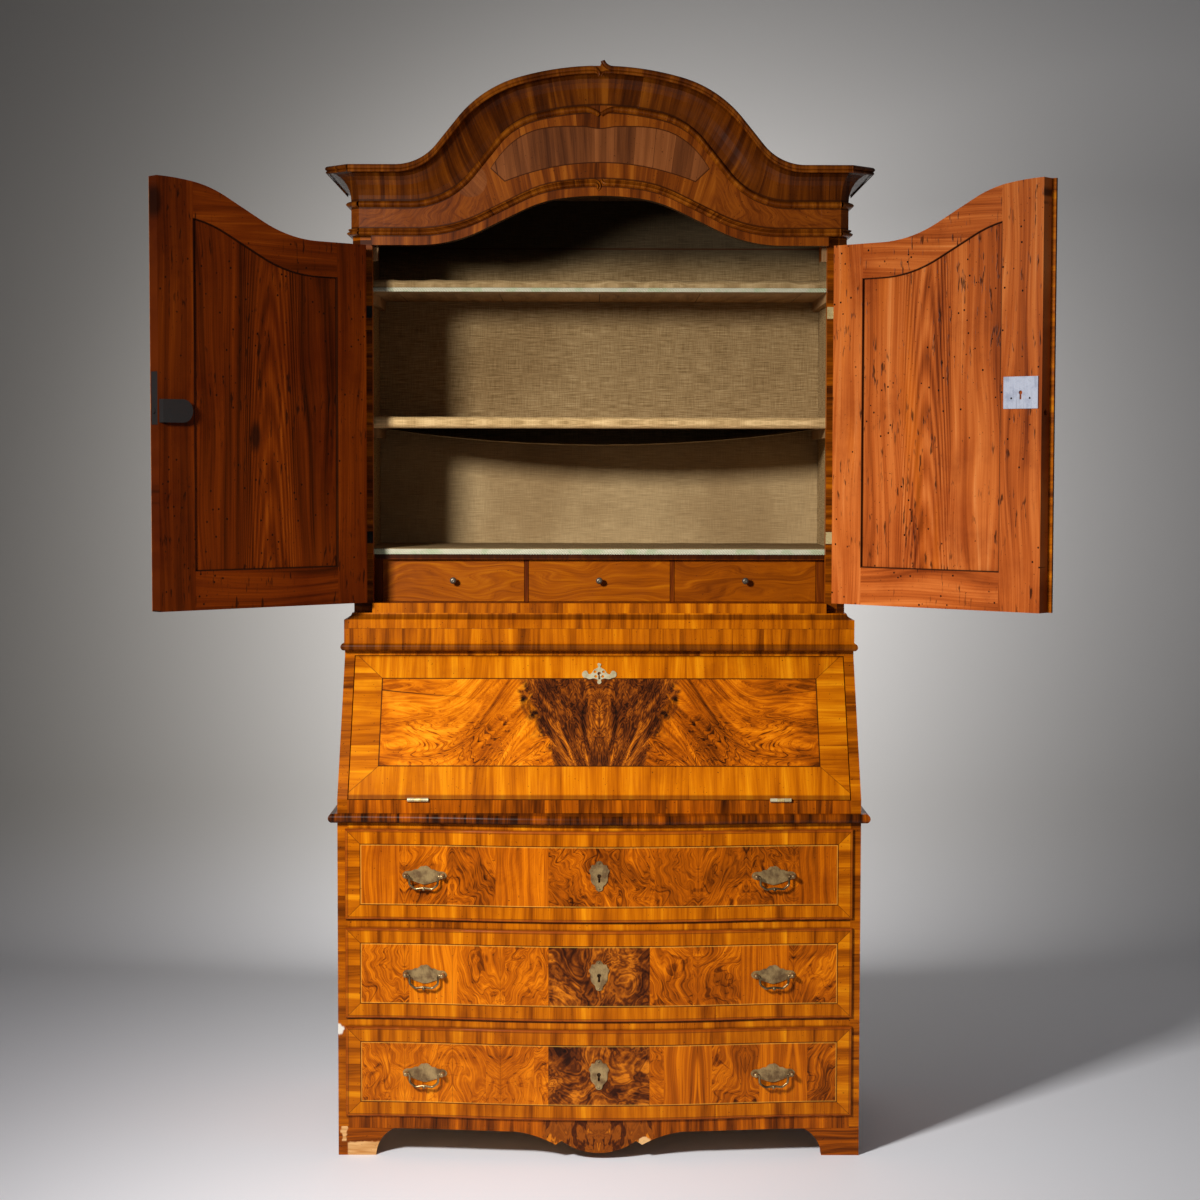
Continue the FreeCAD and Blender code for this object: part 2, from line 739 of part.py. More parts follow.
def small_drawer_edges():
    """The left edge of each divider, the end ones standing against the fillers."""
    first = -cabinet_inner + end_filler
    pitch = (2 * (cabinet_inner - end_filler) - divider_thickness) / small_drawer_count
    return [first + pitch * index for index in range(small_drawer_count + 1)]


def shelves():
    """Two shelves with rounded front edges."""
    solids = []
    half = cabinet_inner - lining_thickness
    for z in (middle_shelf_z, top_shelf_z):
        shelf = box(-half, half, shelf_front, lining_back, z, z + shelf_thickness)
        front = [edge for edge in shelf.Edges if edge.BoundBox.YMax < shelf_front + overrun
                 and edge.BoundBox.XLength > half_case]
        solids.append(shelf.makeFillet(shelf_nose_radius, front))
    return solids


def shelf_bearers():
    """Battens under the shelf ends, and the blocks glued into the top corners."""
    solids = []
    wall = -cabinet_inner + lining_thickness
    front = stile_front + stile_thickness
    for z in (middle_shelf_z, top_shelf_z):
        batten = box(wall, wall + bearer_thickness, shelf_front + overrun, lining_back, z - bearer_height, z)
        solids += both_sides(batten)
    block = [V(wall, front, arch_z), V(wall + glue_block, front, arch_z),
             V(wall, front + glue_block, arch_z)]
    solids += both_sides(prism(block, V(0, 0, -glue_block)))
    return solids


def linen_lining():
    """Linen on the back and sides, and the slack piece that hangs under the middle shelf."""
    low = deck_top_z
    back = box(-cabinet_inner, cabinet_inner, lining_back, inner_back, low, cabinet_top_z)
    front = stile_front + stile_thickness
    side = box(-cabinet_inner, -cabinet_inner + lining_thickness, front, lining_back, low, arch_z)
    half = cabinet_inner - lining_thickness - slack_end_gap
    y = shelf_front + slack_setback
    top, low_z = middle_shelf_z, middle_shelf_z - lining_slack
    outer = arc(V(-half, y, top), V(0, y, low_z), V(half, y, top))
    inner_half = half - lining_thickness * half / lining_slack
    inner = arc(V(inner_half, y, top), V(0, y, low_z + lining_thickness), V(-inner_half, y, top))
    ends = [line(V(half, y, top), V(inner_half, y, top)), line(V(-inner_half, y, top), V(-half, y, top))]
    slack = Part.Face(Part.Wire([outer, ends[0], inner, ends[1]])).extrude(V(0, lining_back - y, 0))
    return [back] + both_sides(side) + [slack]


def braid_trim():
    """Braid along the front of the deck and the lower edge of the top shelf."""
    half = cabinet_inner - lining_thickness
    front = nest_front - deck_forward
    deck = box(-half, half, front - braid_thickness, front, deck_top_z - braid_height, deck_top_z)
    low = top_shelf_z + shelf_nose_radius
    shelf = box(-half, half, shelf_front - braid_thickness, shelf_front, low - braid_height, low + rest_gap)
    return [deck, shelf]


def arched_frieze():
    """The arched board over the doors, canted at its corners and let down between the stiles."""
    arch, z = roof_line(roof_drop)
    back = stile_front
    board = arch_plate(door_arch, arch_z, arch, z, cabinet_half, door_front, back)
    lowest = arch_z - overrun
    side, front = -cabinet_half - overrun, door_front - overrun
    notch = box(side, -opening_half, front, back + overrun, lowest, lower_bead_z)
    cant = prism([V(side, front, lowest), V(-front_corner + overrun, front, lowest),
                  V(side, door_front + cant_leg + overrun, lowest)], V(0, 0, crown_top_z))
    for waste in both_sides(notch) + both_sides(cant):
        board = board.cut(waste)
    return board


def front_bead(arch, z, height, out):
    """A half-round bead along an arched line on the frieze, mitred at the canted corners."""
    path = Part.Wire(arch_edges(arch, reach, door_front, z + height / 2))
    low, high = V(-reach, door_front, z), V(-reach, door_front, z + height)
    section = Part.Wire([arc(low, V(-reach, door_front - out, z + height / 2), high), line(high, low)])
    bead = path.makePipeShell([section], True, False)
    plan = cabinet_plan(door_front, front_corner, cabinet_half)
    across = V(1, 0, 0)
    before = (plan[2] - plan[1]).normalize()
    after = (plan[4] - plan[3]).normalize()
    bead = mitre_cut(bead, plan[2], before, across, across)
    bead = mitre_cut(bead, plan[3], across, after, across * -1)
    edge = Part.Face(Part.Wire([arc(V(0, 0, z), V(out, 0, z + height / 2), V(0, 0, z + height)),
                                line(V(0, 0, z + height), V(0, 0, z))]))
    return [bead] + moulding_run(edge, plan, skip=(2,))


def cornice_beads():
    lower = front_bead(door_arch, lower_bead_z, lower_bead_height, lower_bead_out)
    return lower + front_bead(bead_arch, upper_bead_z, upper_bead_height, upper_bead_out)


def cove_step(share):
    """The hollow of the cornice: how far out and how high it is, as shares, at a share of its turn."""
    angle = share * math.pi / 2
    return 1 - math.cos(angle), math.sin(angle)


def cornice():
    """The hollow cornice: an arch of seven lengths in front, mitred to the canted corners and the sides."""
    shares = [index / (cornice_sections - 1) for index in range(cornice_sections)]
    bead_top = offset_arch(bead_arch, upper_bead_height / 2)
    sections = []
    for share in shares:
        out_share, up_share = cove_step(share)
        lower = Arch(*[a + (b - a) * up_share for a, b in zip(bead_top, crown_arch)])
        y = door_front - crown_overhang * out_share
        low_z = hollow_z + hollow_height * up_share
        sections.append(arch_wire(lower, low_z, crown_arch, crown_top_z, reach, y))
    front = Part.makeLoft(sections, True, True)
    plan = cabinet_plan(door_front, front_corner, cabinet_half)
    across = V(1, 0, 0)
    front = mitre_cut(front, plan[2], (plan[2] - plan[1]).normalize(), across, across)
    front = mitre_cut(front, plan[3], across, (plan[4] - plan[3]).normalize(), across * -1)
    joints = [cabinet_half * share for share in cornice_joint_shares]
    cuts = [-reach] + [-joint for joint in reversed(joints)] + joints + [reach]
    apex = crown_top_z + crown_arch.rise
    front_y = door_front - crown_overhang
    lengths = []
    for left, right in zip(cuts, cuts[1:]):
        lengths.append(front.common(box(left, right, front_y - overrun, door_front + overrun,
                                        hollow_z - overrun, apex + overrun)))
    steps = [cove_step(share) for share in shares]
    points = [V(crown_overhang * out, 0, hollow_z + hollow_height * up) for out, up in steps]
    points += [V(crown_overhang, 0, crown_top_z), V(0, 0, crown_top_z)]
    returns = moulding_run(Part.Face(Part.makePolygon(points + points[:1])), plan, skip=(2,))
    curl = Part.makeCylinder(scroll_radius, scroll_depth, V(scroll_radius, front_y, apex), V(0, 1, 0))
    curl = curl.cut(box(-reach, reach, front_y - overrun, front_y + scroll_depth + overrun, -reach, apex))
    return lengths + returns + [curl.cut(front)]


def roof_boards():
    """The arched roof behind the frieze."""
    upper, upper_z = roof_line(roof_drop)
    lower, lower_z = roof_line(roof_drop + roof_thickness)
    return arch_plate(lower, lower_z, upper, upper_z, cabinet_half, stile_front, origin_to_back)


# Hinges, locks and bolts

def bolt_shape():
    """A flat lock bolt that slides up, with its top at the origin."""
    half, half_thick = bolt_width / 2, bolt_thickness / 2
    return box(-half, half, -half_thick, half_thick, -bolt_length, 0)


def lock_case(depth):
    """A shallow lock case under the origin, with a channel for its bolt."""
    half, room = drawer_lock_width / 2, bolt_clearance
    case = box(-half, half, -depth / 2, depth / 2, -drawer_lock_height, 0)
    slot = box(-bolt_width / 2 - room, bolt_width / 2 + room, -bolt_thickness / 2 - room,
               bolt_thickness / 2 + room, -bolt_length - bolt_inset - room, overrun)
    return case.cut(slot)


def hinge_axis_line(side):
    sign = -1 if side == "left" else 1
    return V(sign * (front_corner + hinge_pin_out), door_front - hinge_pin_forward, 0)


def swing_open(shape, side):
    """Turn a piece of a closed door to where the door stands."""
    sign = -1 if side == "left" else 1
    turned = shape.copy()
    turned.rotate(hinge_axis_line(side), V(0, 0, 1), sign * door_open_angle)
    return turned


def hinge_heights():
    top = arch_z - door_clearance
    return (bottom_rail_top + door_clearance + hinge_lift, top - hinge_lift - hinge_length)


def door_hinges(side):
    """The door's knuckles and leaves, two to a hinge, in the closed door's place."""
    axis = hinge_axis_line("left")
    solids = []
    third = hinge_length / 3
    edge = -front_corner
    for z in hinge_heights():
        leaf = box(edge - hinge_leaf_thickness, edge, axis.y, door_front + hinge_leaf_width,
                   z, z + hinge_length)
        for low in (z, z + 2 * third):
            leaf = leaf.fuse(Part.makeCylinder(hinge_knuckle_radius, third, V(axis.x, axis.y, low)))
        gap = hinge_knuckle_radius + pin_clearance
        middle = Part.makeCylinder(gap, third + 2 * rest_gap, V(axis.x, axis.y, z + third - rest_gap))
        bore = Part.makeCylinder(hinge_pin_radius + pin_clearance, hinge_length, V(axis.x, axis.y, z))
        solids.append(leaf.cut(middle).cut(bore))
    if side == "right":
        solids = [mirrored(solid) for solid in solids]
    return [swing_open(solid, side) for solid in solids]


def case_hinges():
    """The case's halves of the door hinges, cranked round the door's edge, and of the lid hinges."""
    axis = hinge_axis_line("left")
    third = hinge_length / 3
    solids = []
    for z in hinge_heights():
        pin = Part.makeCylinder(hinge_pin_radius, hinge_length, V(axis.x, axis.y, z))
        barrel = Part.makeCylinder(hinge_knuckle_radius, third, V(axis.x, axis.y, z + third))
        outer = axis.x - hinge_knuckle_radius
        arm = box(outer, outer + hinge_leaf_thickness, axis.y, stile_front, z + third, z + 2 * third)
        seat = box(outer, -opening_half, stile_front - hinge_leaf_thickness, stile_front,
                   z + third, z + 2 * third)
        solids += both_sides(pin.fuse(barrel).fuse(arm).fuse(seat).removeSplitter())
    return solids + lid_hinge_halves("case")


def lid_axis():
    return V(0, base_front - lid_pin_forward, (writing_z + lid_bottom_z) / 2)


def lid_hinge_halves(owner):
    """Butt hinges of the lid: knuckles in front of the joint, leaves let into its two edges."""
    axis = lid_axis()
    third = lid_hinge_length / 3
    start = -lid_hinge_x - lid_hinge_length / 2
    spans = [(start + third, third)] if owner == "case" else [(start, third), (start + 2 * third, third)]
    across = V(1, 0, 0)
    if owner == "case":
        leaf_z = (writing_z, writing_z + lid_gap / 2)
    else:
        leaf_z = (lid_bottom_z - lid_gap / 2, lid_bottom_z)
    leaf = box(start, start + lid_hinge_length, axis.y, base_front + lid_leaf_width, leaf_z[0], leaf_z[1])
    end = V(start, axis.y, axis.z)
    leaf = leaf.cut(Part.makeCylinder(lid_knuckle_radius + pin_clearance, lid_hinge_length, end, across))
    for x, length in spans:
        slim = length - rest_gap
        knuckle = Part.makeCylinder(lid_knuckle_radius, slim, V(x + rest_gap / 2, axis.y, axis.z), across)
        left = x + rest_gap / 2
        web = box(left, left + slim, axis.y, base_front + lid_leaf_width, leaf_z[0], leaf_z[1])
        leaf = leaf.fuse(knuckle.fuse(web))
    if owner == "case":
        leaf = leaf.fuse(Part.makeCylinder(lid_pin_radius, lid_hinge_length, end, across))
    else:
        leaf = leaf.cut(Part.makeCylinder(lid_pin_radius + pin_clearance, lid_hinge_length, end, across))
    return both_sides(leaf.removeSplitter())


# Fall lid

def on_lid(shape):
    """Lay a piece that stands on the XZ plane, facing front, on the lid's outer face at its foot."""
    placed = shape.copy()
    placed.rotate(V(0, 0, 0), V(1, 0, 0), -math.degrees(lid_tilt))
    placed.translate(V(0, base_front, lid_bottom_z))
    return placed


def lid_bolt(room, lift):
    """The lid's bolt, grown by a clearance and lifted along the lid."""
    half, half_thick = bolt_width / 2 + room, bolt_thickness / 2 + room
    middle = lid_thickness / 2
    return box(-half, half, middle - half_thick, middle + half_thick, lid_bolt_top - bolt_length - room,
               lid_bolt_top + lift + room)


def lid_board():
    """The sloping lid between the sides, hollowed for its lock and cut for its hinge knuckles."""
    half = half_inner - lid_side_gap
    thick = lid_thickness / math.cos(lid_tilt)
    outline = [(base_front, lid_bottom_z), (base_front + thick, lid_bottom_z),
               (door_front + thick, lid_top_z), (door_front, lid_top_z)]
    board = prism([V(-half, y, z) for y, z in outline], V(2 * half, 0, 0))
    room = bolt_clearance
    half_lock = drawer_lock_width / 2 + room
    pocket = box(-half_lock, half_lock, (lid_thickness - drawer_lock_depth) / 2, lid_thickness + overrun,
                 lid_lock_top - drawer_lock_height - room, lid_lock_top + room)
    board = board.cut(on_lid(pocket)).cut(on_lid(lid_bolt(room, bolt_throw + overrun)))
    key = keyhole(lid_thickness / 2 + overrun).translated(V(0, lid_thickness / 2, lid_slope - lid_plate_drop))
    board = board.cut(on_lid(key))
    return cut_knuckle_grooves(board)


def lid_fittings():
    """The pierced key plate, the lock case and the lid's halves of its hinges."""
    plate = smooth_plate(lid_plate_shares, lid_plate_half_width, lid_plate_half_height, plate_thickness)
    plate = plate.cut(keyhole(plate_thickness + overrun).translated(V(0, overrun, 0)))
    for across, up in lid_piercing_shares:
        for sign in (-1, 1):
            centre = V(sign * across * lid_plate_half_width, overrun, up * lid_plate_half_height)
            plate = plate.cut(Part.makeCylinder(lid_piercing_radius, plate_thickness + 2 * overrun, centre,
                                                V(0, -1, 0)))
    plate.translate(V(0, 0, lid_slope - lid_plate_drop))
    case = lock_case(drawer_lock_depth).translated(V(0, lid_thickness / 2, lid_lock_top))
    return [on_lid(plate), on_lid(case)] + lid_hinge_halves("lid")


# Large drawers

def on_lip_rim(edge):
    """Whether an edge runs round the outer face of a drawer's lip."""
    point = edge.valueAt((edge.FirstParameter + edge.LastParameter) / 2)
    outside = abs(point.y - serpentine_y(point.x) + lip_thickness) < rest_gap
    return outside and (edge.BoundBox.ZLength < overrun or abs(point.x) > half_inner)


def drawer_front(index):
    """A lipped serpentine facing, and the core behind it with a pocket for the lock."""
    low = first_drawer_z + drawer_pitch * index
    half_lip = half_inner + lip_overlap
    lip = serpentine_band(lip_thickness, rest_gap, half_lip, low, low + drawer_height + lip_rise)
    lip = lip.makeFillet(lip_round, [edge for edge in lip.Edges if on_lip_rim(edge)])
    top = drawer_top(index) - fit_gap
    core = serpentine_band(rest_gap, -front_thickness, half_inner - fit_gap,
                           drawer_bottom(index) + fit_gap, top)
    room = bolt_clearance
    half_lock = drawer_lock_width / 2 + room
    pocket = box(-half_lock, half_lock, bolt_y - drawer_lock_depth / 2, bolt_y + front_bulge,
                 top - bolt_inset - drawer_lock_height - room, top - bolt_inset + room)
    channel = box(-bolt_width / 2 - room, bolt_width / 2 + room, bolt_y - bolt_thickness / 2 - room,
                  bolt_y + bolt_thickness / 2 + room, top - bolt_length, top + fit_gap)
    key = keyhole(2 * front_bulge).translated(V(0, serpentine_y(0) + front_bulge, key_height(index)))
    return [lip.cut(key), core.cut(pocket).cut(channel).cut(key)]


def drawer_box(index):
    """Two sides, a back and a bottom, as separate boards."""
    low = drawer_bottom(index) + rest_gap
    high = drawer_top(index) - box_top_gap
    outer = half_inner - fit_gap
    inner = outer - box_side_thickness
    back = inner_back - box_back_gap
    behind = -front_thickness - rest_gap
    side = serpentine_block(behind, back, outer, low, high)
    left = side.common(box(-outer, -inner, base_front, back, low, high))
    rear = box(-inner, inner, back - box_side_thickness, back, low, high)
    bottom = serpentine_block(behind, back - box_side_thickness, inner, low + box_bottom_rise,
                              low + box_bottom_rise + box_bottom_thickness)
    return both_sides(left) + [rear, bottom]


def on_front(shape, x, z):
    """Set a fitting that faces front at the origin on a drawer's curved face."""
    placed = shape.copy()
    placed.rotate(V(0, 0, 0), V(0, 0, 1), serpentine_turn(x))
    placed.translate(V(x, serpentine_y(x) - lip_thickness, z))
    return placed


def pull_height(index):
    return first_drawer_z + drawer_pitch * index + drawer_height / 2 + pull_rise


def key_height(index):
    return first_drawer_z + drawer_pitch * index + drawer_height / 2 + key_plate_rise


def hugging_plate(shares, half_width, half_height, x, z):
    """A thin plate that follows the curve of the drawer's face."""
    thick = front_bulge
    block = smooth_plate(shares, half_width, half_height, 2 * thick).translated(V(x, 0, z))
    block.translate(V(0, serpentine_y(x) - lip_thickness + thick, 0))
    seat = lip_thickness + rest_gap
    skin = serpentine_band(seat + plate_thickness, seat, half_case, z - half_height - overrun,
                           z + half_height + overrun)
    return block.common(skin)


def drawer_fittings(index):
    """Key plate, lock case, and a back plate and two posts for each bail."""
    z = key_height(index)
    plate = hugging_plate(key_plate_shares, key_plate_half_width, key_plate_half_height, 0, z)
    cutter = keyhole(front_bulge).translated(V(0, serpentine_y(0), z))
    solids = [plate.cut(cutter)]
    top = drawer_top(index) - fit_gap
    solids.append(lock_case(drawer_lock_depth).translated(V(0, bolt_y, top - bolt_inset)))
    plate_offset = lip_thickness + rest_gap + plate_thickness
    behind_posts = serpentine_block(plate_offset, origin_to_back, half_case, 0, table_z)
    for x in (-pull_x, pull_x):
        solids.append(hugging_plate(plate_shares, plate_half_width, plate_half_height, x, pull_height(index)))
        for side in (-1, 1):
            post = Part.makeCylinder(post_radius, post_length + plate_thickness, V(side * post_half, 0, 0),
                                     V(0, -1, 0))
            tip = V(side * post_half, -post_length - plate_thickness, 0)
            post = post.fuse(Part.makeSphere(post_radius, tip))
            hole = Part.makeCylinder(bail_radius + pin_clearance, 2 * plate_half_width,
                                     V(-plate_half_width, -bail_out - plate_thickness, 0), V(1, 0, 0))
            solids.append(on_front(post.cut(hole), x, pull_height(index)).cut(behind_posts))
    return solids


def rounded_path(points, radii):
    """Straight runs joined by tangent arcs at the inner points."""
    edges = []
    start = points[0]
    for before, corner, after, radius in zip(points, points[1:], points[2:], radii):
        arrive = (corner - before).normalize()
        leave = (after - corner).normalize()
        half_turn = arrive.getAngle(leave) / 2
        reach_back = radius * math.tan(half_turn)
        begin, end = corner - arrive * reach_back, corner + leave * reach_back
        inward = (leave - arrive).normalize()
        sagitta = radius / math.cos(half_turn) - radius
        edges += [line(start, begin), arc(begin, corner + inward * sagitta, end)]
        start = end
    return Part.Wire(edges + [line(start, points[-1])])


def bail():
    """A hanging bail with its pins turned out, in the place of a plate at the origin."""
    y = -bail_out - plate_thickness
    pin_end = post_half + post_radius
    half = [(pin_end, 0), (bail_leg_half, 0), (bail_leg_half, -bail_knee_drop),
            (bail_hip_half, -bail_hip_drop)]
    points = [V(-x, y, z) for x, z in half] + [V(0, y, -bail_middle_drop)]
    points += [V(x, y, z) for x, z in reversed(half)]
    radii = [bail_bend, bail_curve, bail_curve, bail_curve, bail_curve, bail_curve, bail_bend]
    spine = rounded_path(points, radii)
    section = Part.Wire(Part.makeCircle(bail_radius, points[0], V(1, 0, 0)))
    rod = spine.makePipeShell([section], True, False)
    bead = Part.makeSphere(bail_bead_radius, V(0, y, -bail_middle_drop - bail_radius))
    return rod.fuse(bead).removeSplitter()


# Small drawers

def small_drawer(index):
    """Front, sides, back and bottom of one small drawer."""
    left = small_drawer_edges()[index] + divider_thickness + small_drawer_gap
    right = small_drawer_edges()[index + 1] - small_drawer_gap
    low = nest_floor_z + rest_gap
    high = low + small_drawer_height
    behind = nest_front + small_front_thickness
    back = nest_front + small_drawer_depth
    wall = small_side_thickness
    front = box(left, right, nest_front, behind, low, high)
    side_left = box(left, left + wall, behind, back, low, high)
    side_right = box(right - wall, right, behind, back, low, high)
    rear = box(left + wall, right - wall, back - wall, back, low, high)
    bottom = box(left + wall, right - wall, behind, back - wall, low, low + small_bottom_thickness)
    return [front, side_left, side_right, rear, bottom]


def small_knob(index):
    """A turned knob on the middle of a small drawer."""
    edges = small_drawer_edges()
    x = (edges[index] + divider_thickness + edges[index + 1]) / 2
    z = nest_floor_z + rest_gap + small_drawer_height / 2
    neck = Part.makeCylinder(knob_neck_radius, knob_length - knob_head, V(x, nest_front, z), V(0, -1, 0))
    low = V(0, 0, knob_length - knob_head)
    rim = V(knob_radius, 0, knob_length - knob_head / 2)
    high = V(0, 0, knob_length)
    profile = Part.Face(Part.Wire([line(low, high), arc(high, rim, low)]))
    head = profile.revolve(V(0, 0, 0), V(0, 0, 1), 360)
    head.rotate(V(0, 0, 0), V(1, 0, 0), 90)
    head.translate(V(x, nest_front, z))
    return neck.fuse(head).removeSplitter()


# Cabinet doors, built closed on the left and then mirrored and swung open

def door_blank(y0, y1, inset_side, inset_bottom, inset_top, meeting):
    """A board in the closed left door's place, drawn in from the door's edges."""
    low = bottom_rail_top + door_clearance + inset_bottom
    top_z = arch_z - door_clearance - inset_top
    board = arch_plate(None, low, door_arch, top_z, cabinet_half, y0, y1)
    room = box(-front_corner + inset_side, -door_gap - meeting, y0, y1, low, top_z + crown_arch.rise)
    return board.common(room)


def door_frame(side):
    """Two stiles and two rails round the panel; the right door has the lip that covers the joint."""
    y0, y1 = door_front, door_front + door_thickness
    meeting = meeting_stiles[side]
    blank = door_blank(y0, y1, 0, 0, 0, 0)
    low = bottom_rail_top
    high = arch_z + door_arch.rise
    inner_edge, outer_edge = -door_gap - meeting, -front_corner + hinge_stile
    pieces = [blank.common(box(-front_corner, outer_edge, y0, y1, low, high)),
              blank.common(box(inner_edge, 0, y0, y1, low, high))]
    rails = blank.common(box(outer_edge, inner_edge, y0, y1, low, high))
    rails = rails.cut(door_blank(y0, y1, hinge_stile, bottom_rail, top_rail, meeting))
    pieces += rails.Solids
    if side == "left":
        end = V(-door_lock_width, door_lock_y(), door_lock_z)
        hole = Part.makeCylinder(door_bolt_radius + rest_gap, door_lock_width, end, V(1, 0, 0))
        pieces = [piece.cut(hole) for piece in pieces]
        plate = fore_end(rest_gap)
        return [swing_open(piece.cut(plate), side) for piece in pieces]
    lip_top = arch_z - door_clearance
    cover = door_arch_plate(lip_top)
    lip = cover.common(box(-lip_width + lip_cover, lip_cover, y0 - lip_proud, y0 - rest_gap, low, high))
    lip_back = box(-lip_width + lip_cover, -door_gap, y0 - rest_gap, y0, low, high)
    lip = lip.fuse(lip_back.common(door_blank(y0 - rest_gap, y0, 0, 0, 0, 0)))
    end = V(-door_bolt_socket, door_lock_y(), door_lock_z)
    socket = Part.makeCylinder(door_bolt_radius + fit_gap, door_bolt_socket, end, V(1, 0, 0))
    pieces = [piece.cut(socket) for piece in pieces] + [lip.removeSplitter()]
    return [swing_open(mirrored(piece), side) for piece in pieces]


def door_arch_plate(top_z):
    """A full-width plate with the door's arched top, for the lip on the meeting edge."""
    y0 = door_front - lip_proud
    return arch_plate(None, bottom_rail_top + door_clearance, door_arch, top_z, cabinet_half, y0, door_front)


def door_panel(side):
    """The panel, flush outside and set back inside."""
    back = door_front + door_thickness - panel_recess
    panel = door_blank(door_front, back, hinge_stile, bottom_rail, top_rail, meeting_stiles[side])
    return swing_open(panel if side == "left" else mirrored(panel), side)


def door_lock_y():
    return door_front + door_thickness / 2


def fore_end(room):
    """The strip let into the left door's meeting edge."""
    half = door_thickness / 2 - 2 * fore_end_thickness + room
    low = door_lock_z + fore_end_lift - fore_end_height / 2
    return box(-door_gap - fore_end_thickness - room, 0, door_lock_y() - half, door_lock_y() + half,
               low - room, low + fore_end_height + room)


def left_door_ironwork():
    """Iron lock case with a rounded end, its strip on the door's edge, and the door's hinge halves."""
    y0 = door_front + door_thickness
    half = door_lock_height / 2
    left = -door_gap - fore_end_thickness - door_lock_width
    case = box(left + half, -door_gap - fore_end_thickness, y0, y0 + door_lock_depth,
               door_lock_z - half, door_lock_z + half)
    case = case.fuse(Part.makeCylinder(half, door_lock_depth, V(left + half, y0, door_lock_z), V(0, 1, 0)))
    strip = fore_end(0).common(box(-half_case, -door_gap, door_front, y0, 0, crown_top_z))
    end = V(-half_case, door_lock_y(), door_lock_z)
    strip = strip.cut(Part.makeCylinder(door_bolt_radius + pin_clearance, half_case, end, V(1, 0, 0)))
    solids = [swing_open(case.removeSplitter(), "left"), swing_open(strip, "left")]
    return solids + door_hinges("left")


def left_door_bolt():
    """The round bolt that slides out of the left door's edge."""
    length = door_lock_width - door_bolt_socket
    end = -door_gap + door_bolt_proud
    start = V(end - length, door_lock_y(), door_lock_z)
    return swing_open(Part.makeCylinder(door_bolt_radius, length, start, V(1, 0, 0)), "left")


def right_door_lock():
    """The steel lock plate on the right door's inner face, with its keyhole."""
    y0 = door_front + door_thickness
    left = -steel_lock_inset - steel_lock_width
    low = steel_lock_z - steel_lock_height / 2
    plate = box(left, left + steel_lock_width, y0, y0 + steel_lock_thickness, low, low + steel_lock_height)
    hole = keyhole(steel_lock_thickness + overrun)
    hole.translate(V(left + steel_lock_width / 2, y0 + steel_lock_thickness + overrun, steel_lock_z))
    return swing_open(mirrored(plate.cut(hole)), "right")


def build():
    """Write every piece of the desk to its own file."""
    os.makedirs("parts", exist_ok=True)
    side = case_side()
    save("left_side", side)
    save("right_side", mirrored(side))
    back_top = waist_z
    save("base_back", box(-half_inner, half_inner, inner_back, origin_to_back, foot_height, back_top))
    save("drawer_supports", drawer_supports())
    save("drawer_rails", drawer_rails())
    save("apron", apron())
    save("bracket_feet", bracket_feet())
    save("table_moulding", table_moulding())
    save("writing_board", writing_board())
    save("pigeonholes", pigeonholes())
    save("desk_top", desk_top())
    save("waist_mouldings", waist_mouldings())
    cabinet = cabinet_side()
    save("cabinet_left_side", cabinet)
    save("cabinet_right_side", [mirrored(piece) for piece in cabinet])
    save("cabinet_back", cabinet_back())
    save("small_drawer_case", small_drawer_case())
    save("shelves", shelves())
    save("shelf_bearers", shelf_bearers())
    save("linen_lining", linen_lining())
    save("braid_trim", braid_trim())
    save("arched_frieze", arched_frieze())
    save("cornice_beads", cornice_beads())
    save("cornice", cornice())
    save("roof_boards", roof_boards())
    save("case_hinges", case_hinges())
    save("lid_board", lid_board())
    save("lid_fittings", lid_fittings())
    save("lid_lock_bolt", on_lid(lid_bolt(0, 0)))
    hanging = bail()
    for index, name in enumerate(drawer_names):
        save(name + "_drawer_front", drawer_front(index))
        save(name + "_drawer_box", drawer_box(index))
        save(name + "_drawer_fittings", drawer_fittings(index))
        top = drawer_top(index) - fit_gap - bolt_inset
        save(name + "_drawer_bolt", bolt_shape().translated(V(0, bolt_y, top)))
        for place, x in (("left", -pull_x), ("right", pull_x)):
            save(name + "_drawer_" + place + "_bail", on_front(hanging, x, pull_height(index)))
    for index, name in enumerate(small_drawer_names):
        save(name + "_small_drawer", small_drawer(index))
        save(name + "_small_knob", small_knob(index))
    for place in ("left", "right"):
        save(place + "_door_frame", door_frame(place))
        save(place + "_door_panel", door_panel(place))
    save("left_door_ironwork", left_door_ironwork())
    save("left_door_bolt", left_door_bolt())
    save("right_door_lock", right_door_lock())
    save("right_door_hinges", door_hinges("right"))


build()
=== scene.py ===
import bpy
from math import asin, atan2, cos, dist, pi, radians, sin, sqrt, tan
from mathutils import Matrix, Vector


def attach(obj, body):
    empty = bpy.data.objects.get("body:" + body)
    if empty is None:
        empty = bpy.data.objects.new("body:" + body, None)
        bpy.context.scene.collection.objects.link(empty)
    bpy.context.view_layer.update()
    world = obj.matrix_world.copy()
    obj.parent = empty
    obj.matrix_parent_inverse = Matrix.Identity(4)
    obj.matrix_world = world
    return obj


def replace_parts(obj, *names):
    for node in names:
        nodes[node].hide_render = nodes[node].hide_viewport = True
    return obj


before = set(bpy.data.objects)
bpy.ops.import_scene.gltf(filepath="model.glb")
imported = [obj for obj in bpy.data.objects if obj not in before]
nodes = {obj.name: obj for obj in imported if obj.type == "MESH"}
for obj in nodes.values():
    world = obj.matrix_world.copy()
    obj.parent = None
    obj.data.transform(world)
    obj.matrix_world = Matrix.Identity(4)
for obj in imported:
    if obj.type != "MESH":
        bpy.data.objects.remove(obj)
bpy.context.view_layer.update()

# Sizes in metres, the same as the solids have
HALF_CASE = 0.520
FRONT = -0.198
DOOR_FRONT = -0.036
BACK = 0.382
BULGE = 0.035
LID_FOOT = 0.7155
